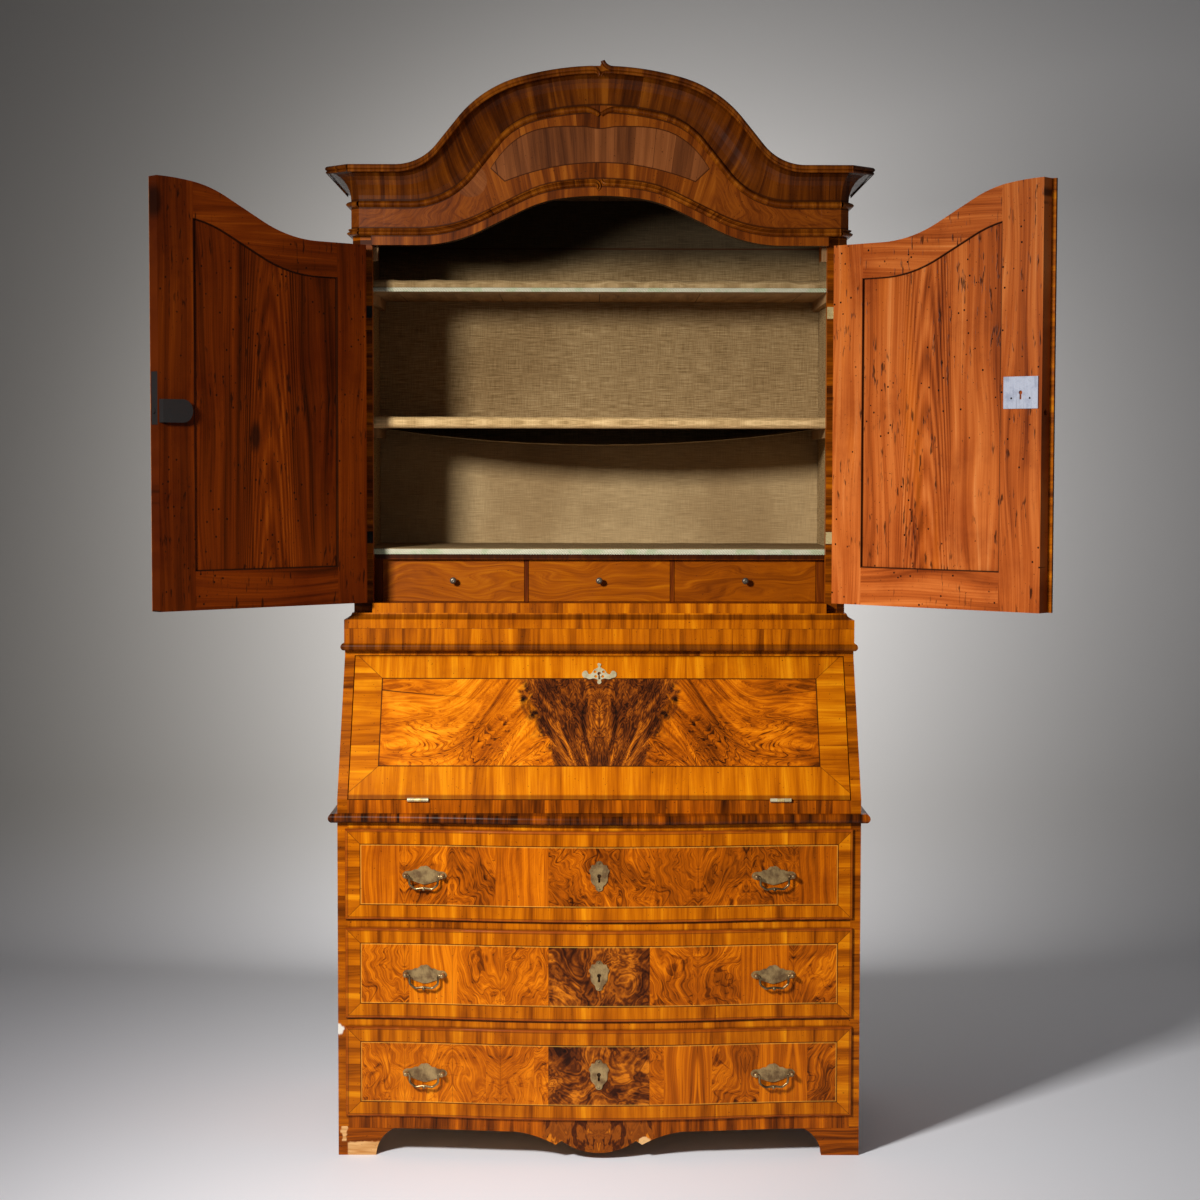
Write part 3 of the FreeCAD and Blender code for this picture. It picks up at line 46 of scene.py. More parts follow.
LID_TILT = atan2(0.162, 0.272)
LID_SLOPE = 0.3166
CABINET_INNER = 0.483
DECK_TOP = 1.2053
SHELF_FRONT = 0.039
SHELF_BACK = 0.3668
MIDDLE_SHELF = 1.455
TOP_SHELF = 1.735
SHELF = 0.021
DOOR_ANGLE = radians(138.0)
HINGE_X = 0.4906
HINGE_Y = DOOR_FRONT - 0.004
FASCIA_LOW, FASCIA_JOINT, FASCIA_HIGH, COVE_TOP = 1.015, 1.045, 1.063, 1.0745
DRAWER_LOW = {"lower": 0.080, "middle": 0.278, "upper": 0.476}
DRAWER_HEIGHT = 0.171
LIP_HEIGHT = 0.181
DRAWER_HALF = 0.5045

# Arched lines: half width, rise, hollow's radius and slope, then the round's radius and shoulder
DOOR_ARCH = (0.370, 0.100, 0.297, 26.0, 0.250, 8.0)
BEAD_ARCH = (0.385, 0.192, 0.161, 51.0, 0.150, 14.0)
CROWN_ARCH = (0.412, 0.196, 0.112, 51.0, 0.239, 16.0)
ARCH_REACH = 0.5
LOWER_BEAD = 1.8415
UPPER_BEAD = 1.898
CROWN_FOOT = 1.968


def tint(red, green, blue):
    """A colour read in the photograph, as the linear numbers that a shader takes."""
    def linear(level):
        share = level / 255
        return share / 12.92 if share <= 0.04045 else ((share + 0.055) / 1.055) ** 2.4
    return (linear(red), linear(green), linear(blue), 1.0)


def shades(places, *colours):
    """Tints from dark to light, each at its place on a scale from 0 to 1."""
    return tuple((place, tint(*colour)) for place, colour in zip(places, colours))


def operator(operation, swapped=False):
    """A sum on sockets, with its terms in order or swapped."""
    def worked(value, *others):
        terms = (*others, value) if swapped else (value, *others)
        return value.finish.node("ShaderNodeMath", {"operation": operation}, dict(enumerate(terms)))
    return worked


class Value:
    """One output socket, with the sums and colours that finishes are written in."""

    def __init__(self, finish, socket):
        self.finish = finish
        self.socket = socket

    __add__ = __radd__ = operator("ADD")
    __sub__, __rsub__ = operator("SUBTRACT"), operator("SUBTRACT", True)
    __mul__ = __rmul__ = operator("MULTIPLY")
    __truediv__, __pow__, __abs__ = operator("DIVIDE"), operator("POWER"), operator("ABSOLUTE")
    __lt__, __gt__ = operator("LESS_THAN"), operator("GREATER_THAN")
    smaller, larger = operator("MINIMUM"), operator("MAXIMUM")
    wave, fraction, whole = operator("SINE"), operator("FRACT"), operator("FLOOR")
    folded, angle = operator("PINGPONG"), operator("ARCTAN2")

    def rise(self, low, high):
        """From 0 at the low end to 1 at the high end, smoothly."""
        return self.finish.node("ShaderNodeMapRange", {"interpolation_type": "SMOOTHSTEP"},
                                {0: self, 1: low, 2: high, 3: 0.0, 4: 1.0})

    def near(self, inner, outer):
        """From 1 where a distance is nought to 0 past its outer limit."""
        return 1 - abs(self).rise(inner, outer)

    def cells(self):
        """A steady random number for each whole number."""
        return self.finish.node("ShaderNodeTexWhiteNoise", {"noise_dimensions": "1D"}, {"W": self.whole()})

    def ramp(self, stops):
        """The tint at this level."""
        return self.finish.node("ShaderNodeValToRGB", {"stops": stops}, {0: self})

    def lay(self, share, colour, way="MIX"):
        """This colour with another laid over it."""
        return self.finish.mix(share, self, colour, way)

    def line(self, away, half=0.0009, strength=0.85):
        """This colour with a fine dark line where a distance is nought."""
        return self.lay(away.near(half * 0.6, half * 1.5) * strength, STRING)


class Finish:
    """One material: its nodes, and the shader that they end in."""

    def __init__(self, name):
        self.material = bpy.data.materials.new(name)
        self.material.use_nodes = True
        self.tree = self.material.node_tree
        self.shader = self.tree.nodes["Principled BSDF"]
        self.place = self.node("ShaderNodeTexCoord", output="Object")
        self.x, self.y, self.z = self.split(self.place)

    def node(self, kind, settings=None, inputs=None, output=0):
        made = self.tree.nodes.new(kind)
        for name, setting in (settings or {}).items():
            if name == "stops":
                self.stops(made.color_ramp, setting)
            else:
                setattr(made, name, setting)
        for name, value in (inputs or {}).items():
            self.feed(made.inputs[name], value)
        return Value(self, made.outputs[output])

    def feed(self, socket, value):
        if isinstance(value, Value):
            self.tree.links.new(value.socket, socket)
        else:
            socket.default_value = value

    def stops(self, ramp, stops):
        while len(ramp.elements) < len(stops):
            ramp.elements.new(1.0)
        for element, (position, colour) in zip(ramp.elements, stops):
            element.position = position
            element.color = colour

    def split(self, vector):
        made = self.node("ShaderNodeSeparateXYZ", None, {0: vector}).socket.node
        return [Value(self, socket) for socket in made.outputs]

    def noise(self, scale, detail, roughness=0.55, distortion=0.0, place=None):
        return self.node("ShaderNodeTexNoise", None, {
            "Vector": place or self.place, "Scale": scale, "Detail": detail, "Roughness": roughness,
            "Distortion": distortion})

    def spot(self, x, y, z):
        return self.node("ShaderNodeCombineXYZ", None, {0: x, 1: y, 2: z})

    def grain(self, x, y, z, detail, roughness=0.55, distortion=0.0):
        """Noise drawn out along the three measures given."""
        return self.noise(1.0, detail, roughness, distortion, self.spot(x, y, z))

    def dots(self, x, y, z):
        """The distance to the nearest of scattered dots."""
        spread = {"Vector": self.spot(x, y, z), "Scale": 1.0}
        return self.node("ShaderNodeTexVoronoi", {"feature": "F1"}, spread, "Distance")

    def mix(self, share, first, second, way="MIX"):
        """Two colours mixed; a plain one is written as red, green and blue up to 255."""
        first, second = (part if isinstance(part, Value) else tint(*part) for part in (first, second))
        return self.node("ShaderNodeMix", {"data_type": "RGBA", "blend_type": way},
                         {0: share, 6: first, 7: second}, 2)

    def facing(self):
        """How far the surface at rest faces along X, Y and Z."""
        return self.split(self.node("ShaderNodeTexCoord", output="Normal"))

    def join(self, colour, roughness, height=None, depth=0.0005, metallic=0.0, coat=0.0, sheen=0.0,
             specular=0.5):
        """Join the colour, gloss and relief to the shader."""
        self.feed(self.shader.inputs["Base Color"], colour)
        self.feed(self.shader.inputs["Roughness"], roughness)
        for name, number in (("Metallic", metallic), ("Specular IOR Level", specular), ("Coat Weight", coat),
                             ("Coat Roughness", 0.2), ("Sheen Weight", sheen)):
            self.shader.inputs[name].default_value = number
        if height is not None:
            bump = {"Strength": 1.0, "Distance": depth, "Height": height}
            self.feed(self.shader.inputs["Normal"], self.node("ShaderNodeBump", None, bump, "Normal"))
        return self.material


# Walnut and softwood, in the ways that the maker laid them

EVEN = (0.14, 0.34, 0.52, 0.70, 0.92)
STRONG = (0.10, 0.30, 0.50, 0.68, 0.90)
RINGED = (0.12, 0.32, 0.52, 0.70, 0.92)
STRIPE = shades(EVEN, (70, 28, 0), (118, 54, 0), (164, 82, 0), (194, 105, 1), (224, 138, 10))
FIGURED = shades(STRONG, (40, 14, 2), (104, 45, 2), (168, 80, 2), (212, 113, 4), (242, 150, 22))
DARK_BURL = shades(EVEN, (22, 9, 4), (54, 22, 7), (94, 42, 9), (144, 72, 12), (206, 116, 20))
BROWN = shades(EVEN, (20, 6, 0), (46, 17, 1), (78, 33, 2), (110, 52, 4), (152, 82, 14))
FRIEZE = shades(EVEN, (40, 14, 2), (78, 33, 4), (116, 53, 7), (148, 75, 13), (180, 102, 28))
LENS = shades(EVEN, (44, 20, 9), (82, 42, 19), (116, 63, 29), (144, 82, 40), (172, 106, 58))
PINE = shades(RINGED, (60, 18, 3), (124, 52, 13), (178, 86, 30), (206, 112, 48), (232, 150, 84))
# Painted shade: a darker copy of the pine, for the inside of the left door
PAINTED_SHADE_PINE = shades(RINGED, (24, 7, 0), (54, 17, 0), (86, 30, 1), (108, 42, 2), (142, 66, 9))
HONEY = shades((0.14, 0.40, 0.62, 0.90), (80, 30, 0), (124, 56, 0), (154, 75, 0), (186, 104, 3))
STRING = (56, 24, 4)
BARE_WOOD = (224, 176, 116)


def blend(share, first, second):
    """A share of the way from the first measure to the second."""
    return first + (second - first) * share


def varied(level, *parts):
    """A level that parts, which vary about one half, move up and down by their shares."""
    for part, share in parts:
        level = (part - 0.5) * share + level
    return level


def cross_grain(wood, along, across, seed, piece=0.027):
    """Short pieces of walnut laid side by side with the grain across; gives a level from 0 to 1."""
    loose = wood.grain(along * 14.0, seed, 0.0, 1.0)
    cell = (along / piece + loose * 1.4 + seed).cells()
    lean = along + across * (cell - 0.5) * 0.12
    soft = wood.grain(lean * 44.0, across * 3.0, cell * 0.5 + seed, 2.0, 0.5)
    streaks = wood.grain(lean * 120.0, across * 5.0, cell * 9.0 + seed, 3.0, 0.6)
    fine = wood.grain(lean * 420.0, across * 12.0, seed, 2.0)
    return varied(0.57, (cell, 0.12), (soft, 0.95), (streaks, 0.42), (fine, 0.34))


def straight_grain(wood, across, along, seed):
    """Plain walnut with the grain along one way; gives a level from 0 to 1."""
    drift = wood.grain(across * 6.0, along * 2.4, seed, 2.0)
    lines = wood.grain(across * 130.0 + drift * 14.0, along * 2.2, seed, 3.0)
    fine = wood.grain(across * 620.0 + drift * 40.0, along * 12.0, seed, 1.0)
    return varied(0.60, (lines, 0.8), (drift, 0.5), (fine, 0.3))


def figure(wood, across, up, seed, curl=0.8):
    """Figured walnut: fine slanting grain that winds past soft dark clouds; gives a level from 0 to 1."""
    drift = wood.grain(across * 9.0, up * 7.0, seed, 2.0, 0.5, curl)
    lean = across + up * 0.45
    clouds = wood.grain(lean * 17.0 + drift * 4.0, up * 10.0, seed + 3.0, 3.0, 0.55, 0.7)
    streaks = wood.grain(lean * 150.0 + drift * 20.0, up * 14.0 + drift * 5.0, seed, 3.0, 0.6)
    threads = wood.grain(lean * 430.0 + drift * 56.0, up * 30.0 + drift * 14.0, seed, 1.0)
    turns = wood.grain(lean * 40.0 + drift * 20.0, up * 24.0 + drift * 14.0, seed + 5.0, 3.0, 0.6, 1.3)
    level = varied(0.61, (clouds, 0.72), (streaks, 0.66), (threads, 0.36))
    return level - turns.rise(0.54, 0.68) * 0.20


def burl(wood, across, up, seed):
    """Dark walnut curled round its knots; gives a level from 0 to 1."""
    field = wood.grain(across * 13.0, up * 11.0, seed, 3.0, 0.55, 1.5)
    shade = wood.grain(across * 17.0, up * 15.0, seed + 5.0, 4.0, 0.6, 1.3)
    threads = wood.grain(across * 240.0 + field * 90.0, up * 240.0 + field * 90.0, seed, 1.0)
    return varied(0.54, (shade, 1.25), (field, 0.7), (threads, 0.22)) + (field * 54.0).wave() * 0.11


def old_polish(wood, colour, level, roughness=0.34, depth=0.0002):
    """Thin wax over the grain, with the specks and bruises of long use."""
    soil = wood.noise(7.0, 5.0, 0.65)
    colour = colour.lay(soil.rise(0.50, 0.72) * 0.3, (150, 92, 50), "MULTIPLY")
    specks = wood.noise(230.0, 1.0)
    colour = colour.lay(specks.rise(0.73, 0.77) * 0.75, (40, 18, 5))
    gloss = wood.noise(30.0, 3.0) * 0.16 + (roughness - 0.08)
    return wood.join(colour, gloss, level, depth, coat=0.03, specular=0.08)


def mitred(sides, ends, across, up):
    """A border round a field: the distance in from its edge, and the measures along it and across it."""
    on_side = sides < ends
    return sides.smaller(ends), blend(on_side, across, up), blend(on_side, up, across)


def drawer_veneer(name, dark_middle, seed, deeper):
    """The serpentine front: banding, sheets of figured and plain walnut and, on two of them, a dark middle."""
    half_middle, sheet_width, band = 0.1, 0.0955, 0.030
    wood = Finish(name + "_drawer_veneer")
    x, up = wood.x, wood.z - (DRAWER_LOW[name] + LIP_HEIGHT / 2)
    right = x > 0.0
    beside = abs(x) - half_middle
    sheet = beside / sheet_width
    number = (sheet + seed + right * 7.0).cells()
    fold = beside.folded(sheet_width)
    winding = figure(wood, fold, up, number * 11.0 + seed)
    plain = straight_grain(wood, fold + number, up, seed)
    level = blend(number.rise(0.6, 0.85), winding, plain)
    field = (level + (number - 0.5) * 0.14 - right * 0.07 - deeper).ramp(FIGURED)
    field = field.lay(abs(sheet.fraction() - 0.5).rise(0.490, 0.497) * 0.4, STRING)
    if dark_middle:
        middle = (burl(wood, x, up, seed) + 0.06).ramp(DARK_BURL)
    else:
        middle = (figure(wood, x, up, seed + 4.0, 1.6) - 0.16).ramp(FIGURED)
    field = field.lay(abs(x) < half_middle, middle)
    sides, ends = DRAWER_HALF - abs(x), LIP_HEIGHT / 2 - abs(up)
    edge, along, into = mitred(sides, ends, x, up)
    band_level = cross_grain(wood, along, into, 3.7)
    colour = band_level.ramp(STRIPE).lay(edge > band, field)
    colour = colour.lay((edge - band - 0.0018).near(0.0005, 0.0011) * 0.5, (232, 168, 66))
    colour = colour.line(edge - band)
    mitre = (sides - ends).near(0.0004, 0.0011) * (edge < band)
    colour = colour.lay(mitre * 0.7, STRING)
    colour = colour.lay(edge.rise(0.0060, 0.0046) * 0.6, (138, 60, 14))
    colour = colour.line(edge - 0.0056, 0.0007, 0.55)
    turned = wood.facing()
    rim = (abs(turned[2]) + abs(turned[0]) * 0.8).rise(0.45, 0.85)
    colour = colour.lay(rim * 0.7, (128, 58, 16))
    return old_polish(wood, colour, level * 0.5 + band_level * 0.5, 0.32)


def lid_veneer():
    """The lid: a mitred cross-grain border, and a field laid as a pair with a dark burl heart."""
    half_field, field_low, field_high = 0.441, 0.072, 0.266
    wood = Finish("lid_veneer")
    x, mirrored = wood.x, abs(wood.x)
    right = x > 0.0
    up = (wood.z - LID_FOOT) / cos(LID_TILT)
    rise = up - field_low
    lean = mirrored.rise(0.36, 0.15) * (mirrored - 0.36) * 24.0
    sweep = wood.grain(mirrored * 4.0, rise * 16.0 + lean * 0.6, 2.0, 2.0, 0.5, 0.9)
    threads = wood.grain(mirrored * 40.0 + sweep * 20.0, rise * 420.0 + sweep * 120.0, 3.0, 2.0)
    shade = wood.grain(mirrored * 7.0, rise * 15.0 + lean * 0.5, 9.0, 4.0, 0.6, 0.8)
    level = varied(0.66, (shade, 1.15), (threads, 0.5)) + (sweep * 74.0 + lean).wave() * 0.07
    outward = mirrored * 0.75 + rise * 0.66
    inward = rise * 0.75 - mirrored * 0.66
    flames = wood.grain(outward * 26.0 + sweep * 8.0, inward * 130.0 + sweep * 30.0, 6.0, 3.0, 0.6, 0.5)
    low_half = rise.rise(0.135, 0.075) * mirrored.rise(0.42, 0.36)
    corner = mirrored.rise(0.33, 0.43) * rise.rise(0.08, 0.0)
    # Painted shade: the field's right half is painted darker
    level = level - flames.rise(0.50, 0.66) * low_half * 0.36 - corner * 0.3 - right * 0.15
    field = level.ramp(FIGURED)
    split = rise - 0.168 + (half_field - mirrored) * 0.097 + (sweep - 0.5) * 0.012
    cracked = mirrored.rise(0.2, 0.4) * (0.85 - right * 0.4)
    field = field.lay(split.near(0.0006, 0.0020) * cracked, (60, 22, 4))
    fan = mirrored / (rise + 0.11)
    winding = wood.grain(fan * 7.0, rise * 11.0, 3.0, 3.0, 0.55, 1.7)
    knots = wood.grain(fan * 8.0, rise * 12.0, 1.0, 4.0, 0.6, 1.3)
    dark = varied(0.52, (knots, 1.3), (winding, 0.7)) + (winding * 66.0).wave() * 0.12
    ragged = wood.grain(mirrored * 16.0, rise * 16.0, 1.0, 4.0, 0.6, 1.2) - 0.5
    reach = mirrored + ragged * 0.15 - (0.092 + rise * 0.42)
    field = field.lay(1 - reach.rise(-0.02, 0.012), dark.ramp(DARK_BURL))
    field = field.line(x, 0.0006, 0.5)
    sides, ends = half_field - mirrored, rise.smaller(field_high - up)
    inside, along, across = mitred(sides, ends, x, up)
    border = cross_grain(wood, along, across, 8.8, 0.05)
    colour = (border + 0.10).ramp(STRIPE).lay(inside > 0.0, field)
    colour = colour.line(inside, 0.0012, 0.9)
    mitre = (sides - ends).near(0.0005, 0.0014) * (inside < 0.0)
    colour = colour.lay(mitre * 0.6, STRING)
    # Painted shade along the lid's lowest strip, over its lip
    colour = colour.lay(up.rise(0.012, 0.007) * 0.6, (70, 24, 4))
    inner = (straight_grain(wood, up, x, 4.0) - 0.04).ramp(FRIEZE)
    colour = colour.lay(wood.facing()[1].rise(0.1, 0.4), inner)
    colour = colour.lay(up.rise(LID_SLOPE - 0.006, LID_SLOPE) * 0.4, STRING)
    return old_polish(wood, colour, level * 0.5 + border * 0.5, 0.32)


def along_front(wood, turned):
    """X along the front and Y along the sides."""
    sideways = (abs(turned[0]) - abs(turned[1])).rise(0.0, 0.2)
    return blend(sideways, wood.x, wood.y)


def striped_walnut(name, seed, tints, lift):
    """Cross-grain walnut on mouldings and narrow strips that run along X or Y."""
    wood = Finish(name)
    turned = wood.facing()
    level = cross_grain(wood, along_front(wood, turned), wood.z, seed, 0.034)
    colour = (level + lift).ramp(tints)
    # Painted shade on the faces that turn downwards
    colour = colour.lay((0.0 - turned[2]).rise(0.3, 0.9) * 0.6, (50, 20, 4))
    return old_polish(wood, colour, level, 0.32)


def board_walnut():
    """Writing board: plain walnut on top, a brown cross-grain strip along its front edge."""
    wood = Finish("board_walnut")
    level = straight_grain(wood, wood.y, wood.x, 2.4)
    strip = cross_grain(wood, wood.x, wood.z, 4.6, 0.034)
    front = (0.0 - wood.facing()[1]).rise(0.3, 0.6)
    colour = (level - 0.04).ramp(FRIEZE).lay(front, (strip - 0.16).ramp(FIGURED))
    return old_polish(wood, colour, level)


def rail_walnut():
    """Rails between the drawers: cross-grain walnut, with painted shadow under each drawer's lip and painted
    shade just over it.
    """
    wood = Finish("rail_walnut")
    z = wood.z
    level = cross_grain(wood, wood.x, z, 6.2, 0.034)
    colour = (level + 0.03).ramp(STRIPE)
    for low in DRAWER_LOW.values():
        high = low + LIP_HEIGHT
        # Painted shadow on the rail under each lip, and painted shade just over each lip
        under = z.rise(low - 0.0055, low - 0.0025) * (z < low + 0.02)
        over = z.rise(high + 0.0035, high + 0.001) * (z > high - 0.02)
        colour = colour.lay((under * 0.8).larger(over * 0.4), (26, 10, 2))
    return old_polish(wood, colour, level, 0.32)


def waist_walnut():
    """Waist mouldings: a dark astragal, a fascia in two strips and a dark cove."""
    wood = Finish("waist_walnut")
    z = wood.z
    along = along_front(wood, wood.facing()) + (z > FASCIA_JOINT) * 0.37
    level = cross_grain(wood, along, z, 8.4, 0.034)
    astragal = z.rise(FASCIA_LOW, FASCIA_LOW - 0.002)
    cove = z.rise(FASCIA_HIGH, FASCIA_HIGH + 0.002) * z.rise(COVE_TOP, COVE_TOP - 0.002)
    dark = (astragal * 0.7).larger(cove * 0.7)
    colour = level.ramp(STRIPE).lay(dark, (level - 0.1).ramp(BROWN))
    colour = colour.line(z - FASCIA_JOINT, 0.0005, 0.5)
    return old_polish(wood, colour, level, 0.32)


def case_side_veneer(name, seed):
    """Sides of the case: matched sheets outside, cross-grain strips on the front edges with painted shade
    above the waist, one lost flake.
    """
    sheet_width, flake_height, flake = 0.145, 0.254, 0.019
    wood = Finish(name)
    x, y, z = wood.x, wood.y, wood.z
    turned = wood.facing()
    fold = (y + 0.2).folded(sheet_width)
    level = straight_grain(wood, fold, z, seed) * 0.6 + figure(wood, fold * 0.6, z * 0.3, seed) * 0.4
    edge_level = cross_grain(wood, z, x, seed + 2.0)
    # Painted shade: the front edges are painted darker above the waist, where the doors shade them
    edges = (edge_level - 0.08 - z.rise(1.06, 1.08) * 0.15).ramp(STRIPE)
    colour = (level - 0.08).ramp(FIGURED).lay((0.0 - turned[1]).rise(0.3, 0.6), edges)
    colour = colour.lay(turned[1].rise(0.3, 0.6), (112, 70, 34))
    chip = wood.noise(90.0, 3.0) * 0.012
    away = (z - flake_height) ** 2.0 + (y - FRONT) ** 2.0 + (x + HALF_CASE) ** 2.0
    colour = colour.lay((away ** 0.5 + chip).rise(flake, flake - 0.004), (226, 218, 204))
    return old_polish(wood, colour, level)


def apron_veneer():
    """Apron: dark matched burl on the pendant, brown stripes beside it, and one lost flake."""
    flake_x, flake_z, flake = 0.090, 0.034, 0.021
    wood = Finish("apron_veneer")
    x, z = wood.x, wood.z
    level = cross_grain(wood, x, z, 1.9, 0.06)
    colour = (level - 0.18).ramp(FIGURED)
    fan = wood.grain(abs(x) * 40.0, z * 14.0, 3.3, 4.0, 0.6, 1.2)
    knot = varied(0.58, (fan, 1.5)) + (fan * 40.0).wave() * 0.1
    colour = colour.lay(x.near(0.10, 0.12), knot.ramp(DARK_BURL))
    chip = wood.noise(80.0, 3.0) * 0.014
    away = ((x - flake_x) ** 2.0 + (z - flake_z) ** 2.0) ** 0.5
    colour = colour.lay((away + chip).rise(flake, flake - 0.003), BARE_WOOD)
    return old_polish(wood, colour, level)


def foot_veneer():
    """Bracket feet, with the veneer lost from the foot on the left."""
    wood = Finish("foot_veneer")
    x, z = wood.x, wood.z
    level = straight_grain(wood, z, x, 9.0)
    colour = (level - 0.22).ramp(FIGURED)
    ragged = wood.noise(70.0, 3.0) * 0.016
    low = (z + ragged).rise(0.036, 0.032) * x.rise(-0.503, -0.500)
    slit = (abs(x + 0.508) + ragged).rise(0.015, 0.012) * z.rise(0.026, 0.030)
    gone = low.larger(slit) * (x < 0.0) * (wood.y < FRONT + 0.004)
    bare = wood.grain(x * 14.0, wood.y, z * 160.0, 3.0)
    colour = colour.lay(gone, bare.ramp(shades((0.3, 0.7), (186, 124, 62), (232, 182, 120))))
    return old_polish(wood, colour, level, 0.4)


def arch_height(x, arch):
    """The height of an arched line above its flat ends."""
    start, rise, hollow, steep, round_over, shoulder = arch
    steep, shoulder = radians(steep), radians(shoulder)
    rise_left = rise - hollow * (1 - cos(steep)) - round_over * (cos(shoulder) - cos(steep))
    run_left = start - hollow * sin(steep) - round_over * (sin(steep) - sin(shoulder))
    top_rise = 1 - cos(shoulder)
    scale = cos(steep) * top_rise - sin(steep) * sin(shoulder)
    straight = (run_left * top_rise - rise_left * sin(shoulder)) / scale
    top = (cos(steep) * rise_left - sin(steep) * run_left) / scale
    distance = abs(x)
    foot = start - hollow * sin(steep)
    climb = foot - straight * cos(steep)
    turn = top * sin(shoulder)
    if distance >= start:
        return 0.0
    if distance >= foot:
        return hollow - sqrt(hollow ** 2 - (start - distance) ** 2)
    foot_height = hollow * (1 - cos(steep))
    if distance >= climb:
        return foot_height + (foot - distance) * tan(steep)
    if distance <= turn:
        return rise - top + sqrt(top ** 2 - distance ** 2)
    centre = climb - round_over * sin(steep)
    middle = foot_height + straight * sin(steep) - round_over * cos(steep)
    return middle + sqrt(round_over ** 2 - (distance - centre) ** 2)


def arch_lift(wood, distance, arch):
    """The height of an arched line, read along a scale of even steps from the middle."""
    steps = 28
    stops = []
    for step in range(steps + 1):
        share = arch_height(ARCH_REACH * step / steps, arch) / arch[1]
        stops.append((step / steps, (share, share, share, 1.0)))
    return (distance / ARCH_REACH).ramp(stops) * arch[1]


def fanned(wood, centre):
    """A measure along the arched front that follows its curve: straight at the sides, fanned in the middle."""
    lift = wood.z - centre
    angle = wood.x.angle(lift) * (2.03 - centre)
    return blend(abs(wood.x).rise(0.40, 0.24), wood.x, angle)


def frieze_veneer():
    """Arched frieze: a fanned border round a lens of darker pieces, and a round leaf at the left."""
    leaf_x, leaf_z, leaf_radius = -0.262, 1.952, 0.0335
    lens_low, lens_high, lens_piece = 1.989, 2.061, 0.041
    wood = Finish("frieze_veneer")
    x, z = wood.x, wood.z
    level = cross_grain(wood, fanned(wood, 1.3), z, 4.4, 0.05)
    sheets = figure(wood, abs(x) * 0.7, z, 6.0) * 0.6 + 0.20
    colour = level.ramp(FRIEZE).lay(abs(x).rise(0.232, 0.236), sheets.ramp(FRIEZE))
    leaf = ((x - leaf_x) ** 2.0 + (z - leaf_z) ** 2.0) ** 0.5
    leaf_level = cross_grain(wood, x + z, z, 1.4, 0.05)
    leaf_share = leaf.rise(leaf_radius, leaf_radius - 0.001) * 0.7
    colour = colour.lay(leaf_share, leaf_level.ramp(LENS))
    strip = z - arch_lift(wood, abs(x), DOOR_ARCH) - LOWER_BEAD
    strip_level = cross_grain(wood, x, z, 2.2, 0.06)
    colour = colour.lay(strip < 0.004, (strip_level - 0.02).ramp(FRIEZE))
    # Painted shade: dark lines along both edges of the lower bead and under the upper bead, where they meet
    # the frieze
    colour = colour.line(strip + 0.0010, 0.0012, 0.8)
    colour = colour.line(strip - 0.0162, 0.0012, 0.8)
    upper = z - arch_lift(wood, abs(x), BEAD_ARCH) - UPPER_BEAD
    colour = colour.line(upper + 0.0012, 0.0016, 0.85)
    spread = fanned(wood, 0.9)
    part = spread / lens_piece + 0.3
    tone = part.cells()
    pieces = cross_grain(wood, spread, z, 7.1, 0.06) * 0.7 + 0.16
    joint = abs(part.fraction() - 0.5).rise(0.478, 0.495) * (tone > 0.4)
    bow = x * x
    notch = abs(x).rise(0.036, 0.0) * 0.004
    low = lens_low - bow * 1.02
    high = lens_high + bow * 0.231 - (bow * bow) * 40.0 - notch
    cut = (z - 1.951 - (abs(x) - 0.193) * 0.93) * 0.73
    inside = (z - low).smaller(high - z).smaller(cut)
    lens = (pieces + 0.05 + (tone - 0.5) * 0.3 - joint * 0.35).ramp(LENS)
    colour = colour.lay(inside > 0.0, lens).line(inside, 0.0011, 0.85)
    turned = wood.facing()
    # Painted shade on the faces that turn downwards, under the arch
    colour = colour.lay((0.0 - turned[2]).rise(0.3, 0.8) * 0.9, (26, 11, 4))
    colour = colour.lay(turned[1].rise(0.3, 0.6), (70, 44, 24))
    return old_polish(wood, colour, level)


def cornice_veneer(name, seed, lift, shaded):
    """Brown cross-grain walnut that fans round the arch, with painted shade on its downward faces and just
    above the upper bead when shaded is set.
    """
    wood = Finish(name)
    turned = wood.facing()
    sideways = (abs(turned[0]) - abs(turned[1]) - abs(turned[2])).rise(0.0, 0.2)
    outside = abs(wood.x).rise(0.505, 0.507)
    along = blend(sideways.larger(outside), fanned(wood, 1.62), wood.y)
    level = cross_grain(wood, along, wood.z, seed, 0.045)
    colour = (level + lift).ramp(BROWN)
    soil = wood.noise(5.0, 4.0)
    colour = colour.lay(soil.rise(0.5, 0.7) * 0.3, (30, 13, 5))
    # Painted shade on the faces that turn downwards, and a dark line of painted shade just above the upper
    # bead
    colour = colour.lay((0.0 - turned[2]).rise(0.5, 0.9) * shaded, (24, 9, 2))
    if shaded:
        upper = wood.z - arch_lift(wood, abs(wood.x), BEAD_ARCH) - UPPER_BEAD
        colour = colour.line(upper - 0.0144, 0.0022, 0.8)
    return old_polish(wood, colour, level, 0.28)


def door_place(wood, left):
    """Where a point of an open door lies when the door is shut: across from the hinge, and through."""
    sign = -1.0 if left else 1.0
    across = wood.x - sign * HINGE_X
    out = wood.y - HINGE_Y
    cosine, sine = cos(sign * DOOR_ANGLE), sin(sign * DOOR_ANGLE)
    shut_x = across * cosine + out * sine
    shut_y = out * cosine - across * sine
    return shut_x * (0.0 - sign), shut_y + HINGE_Y - DOOR_FRONT


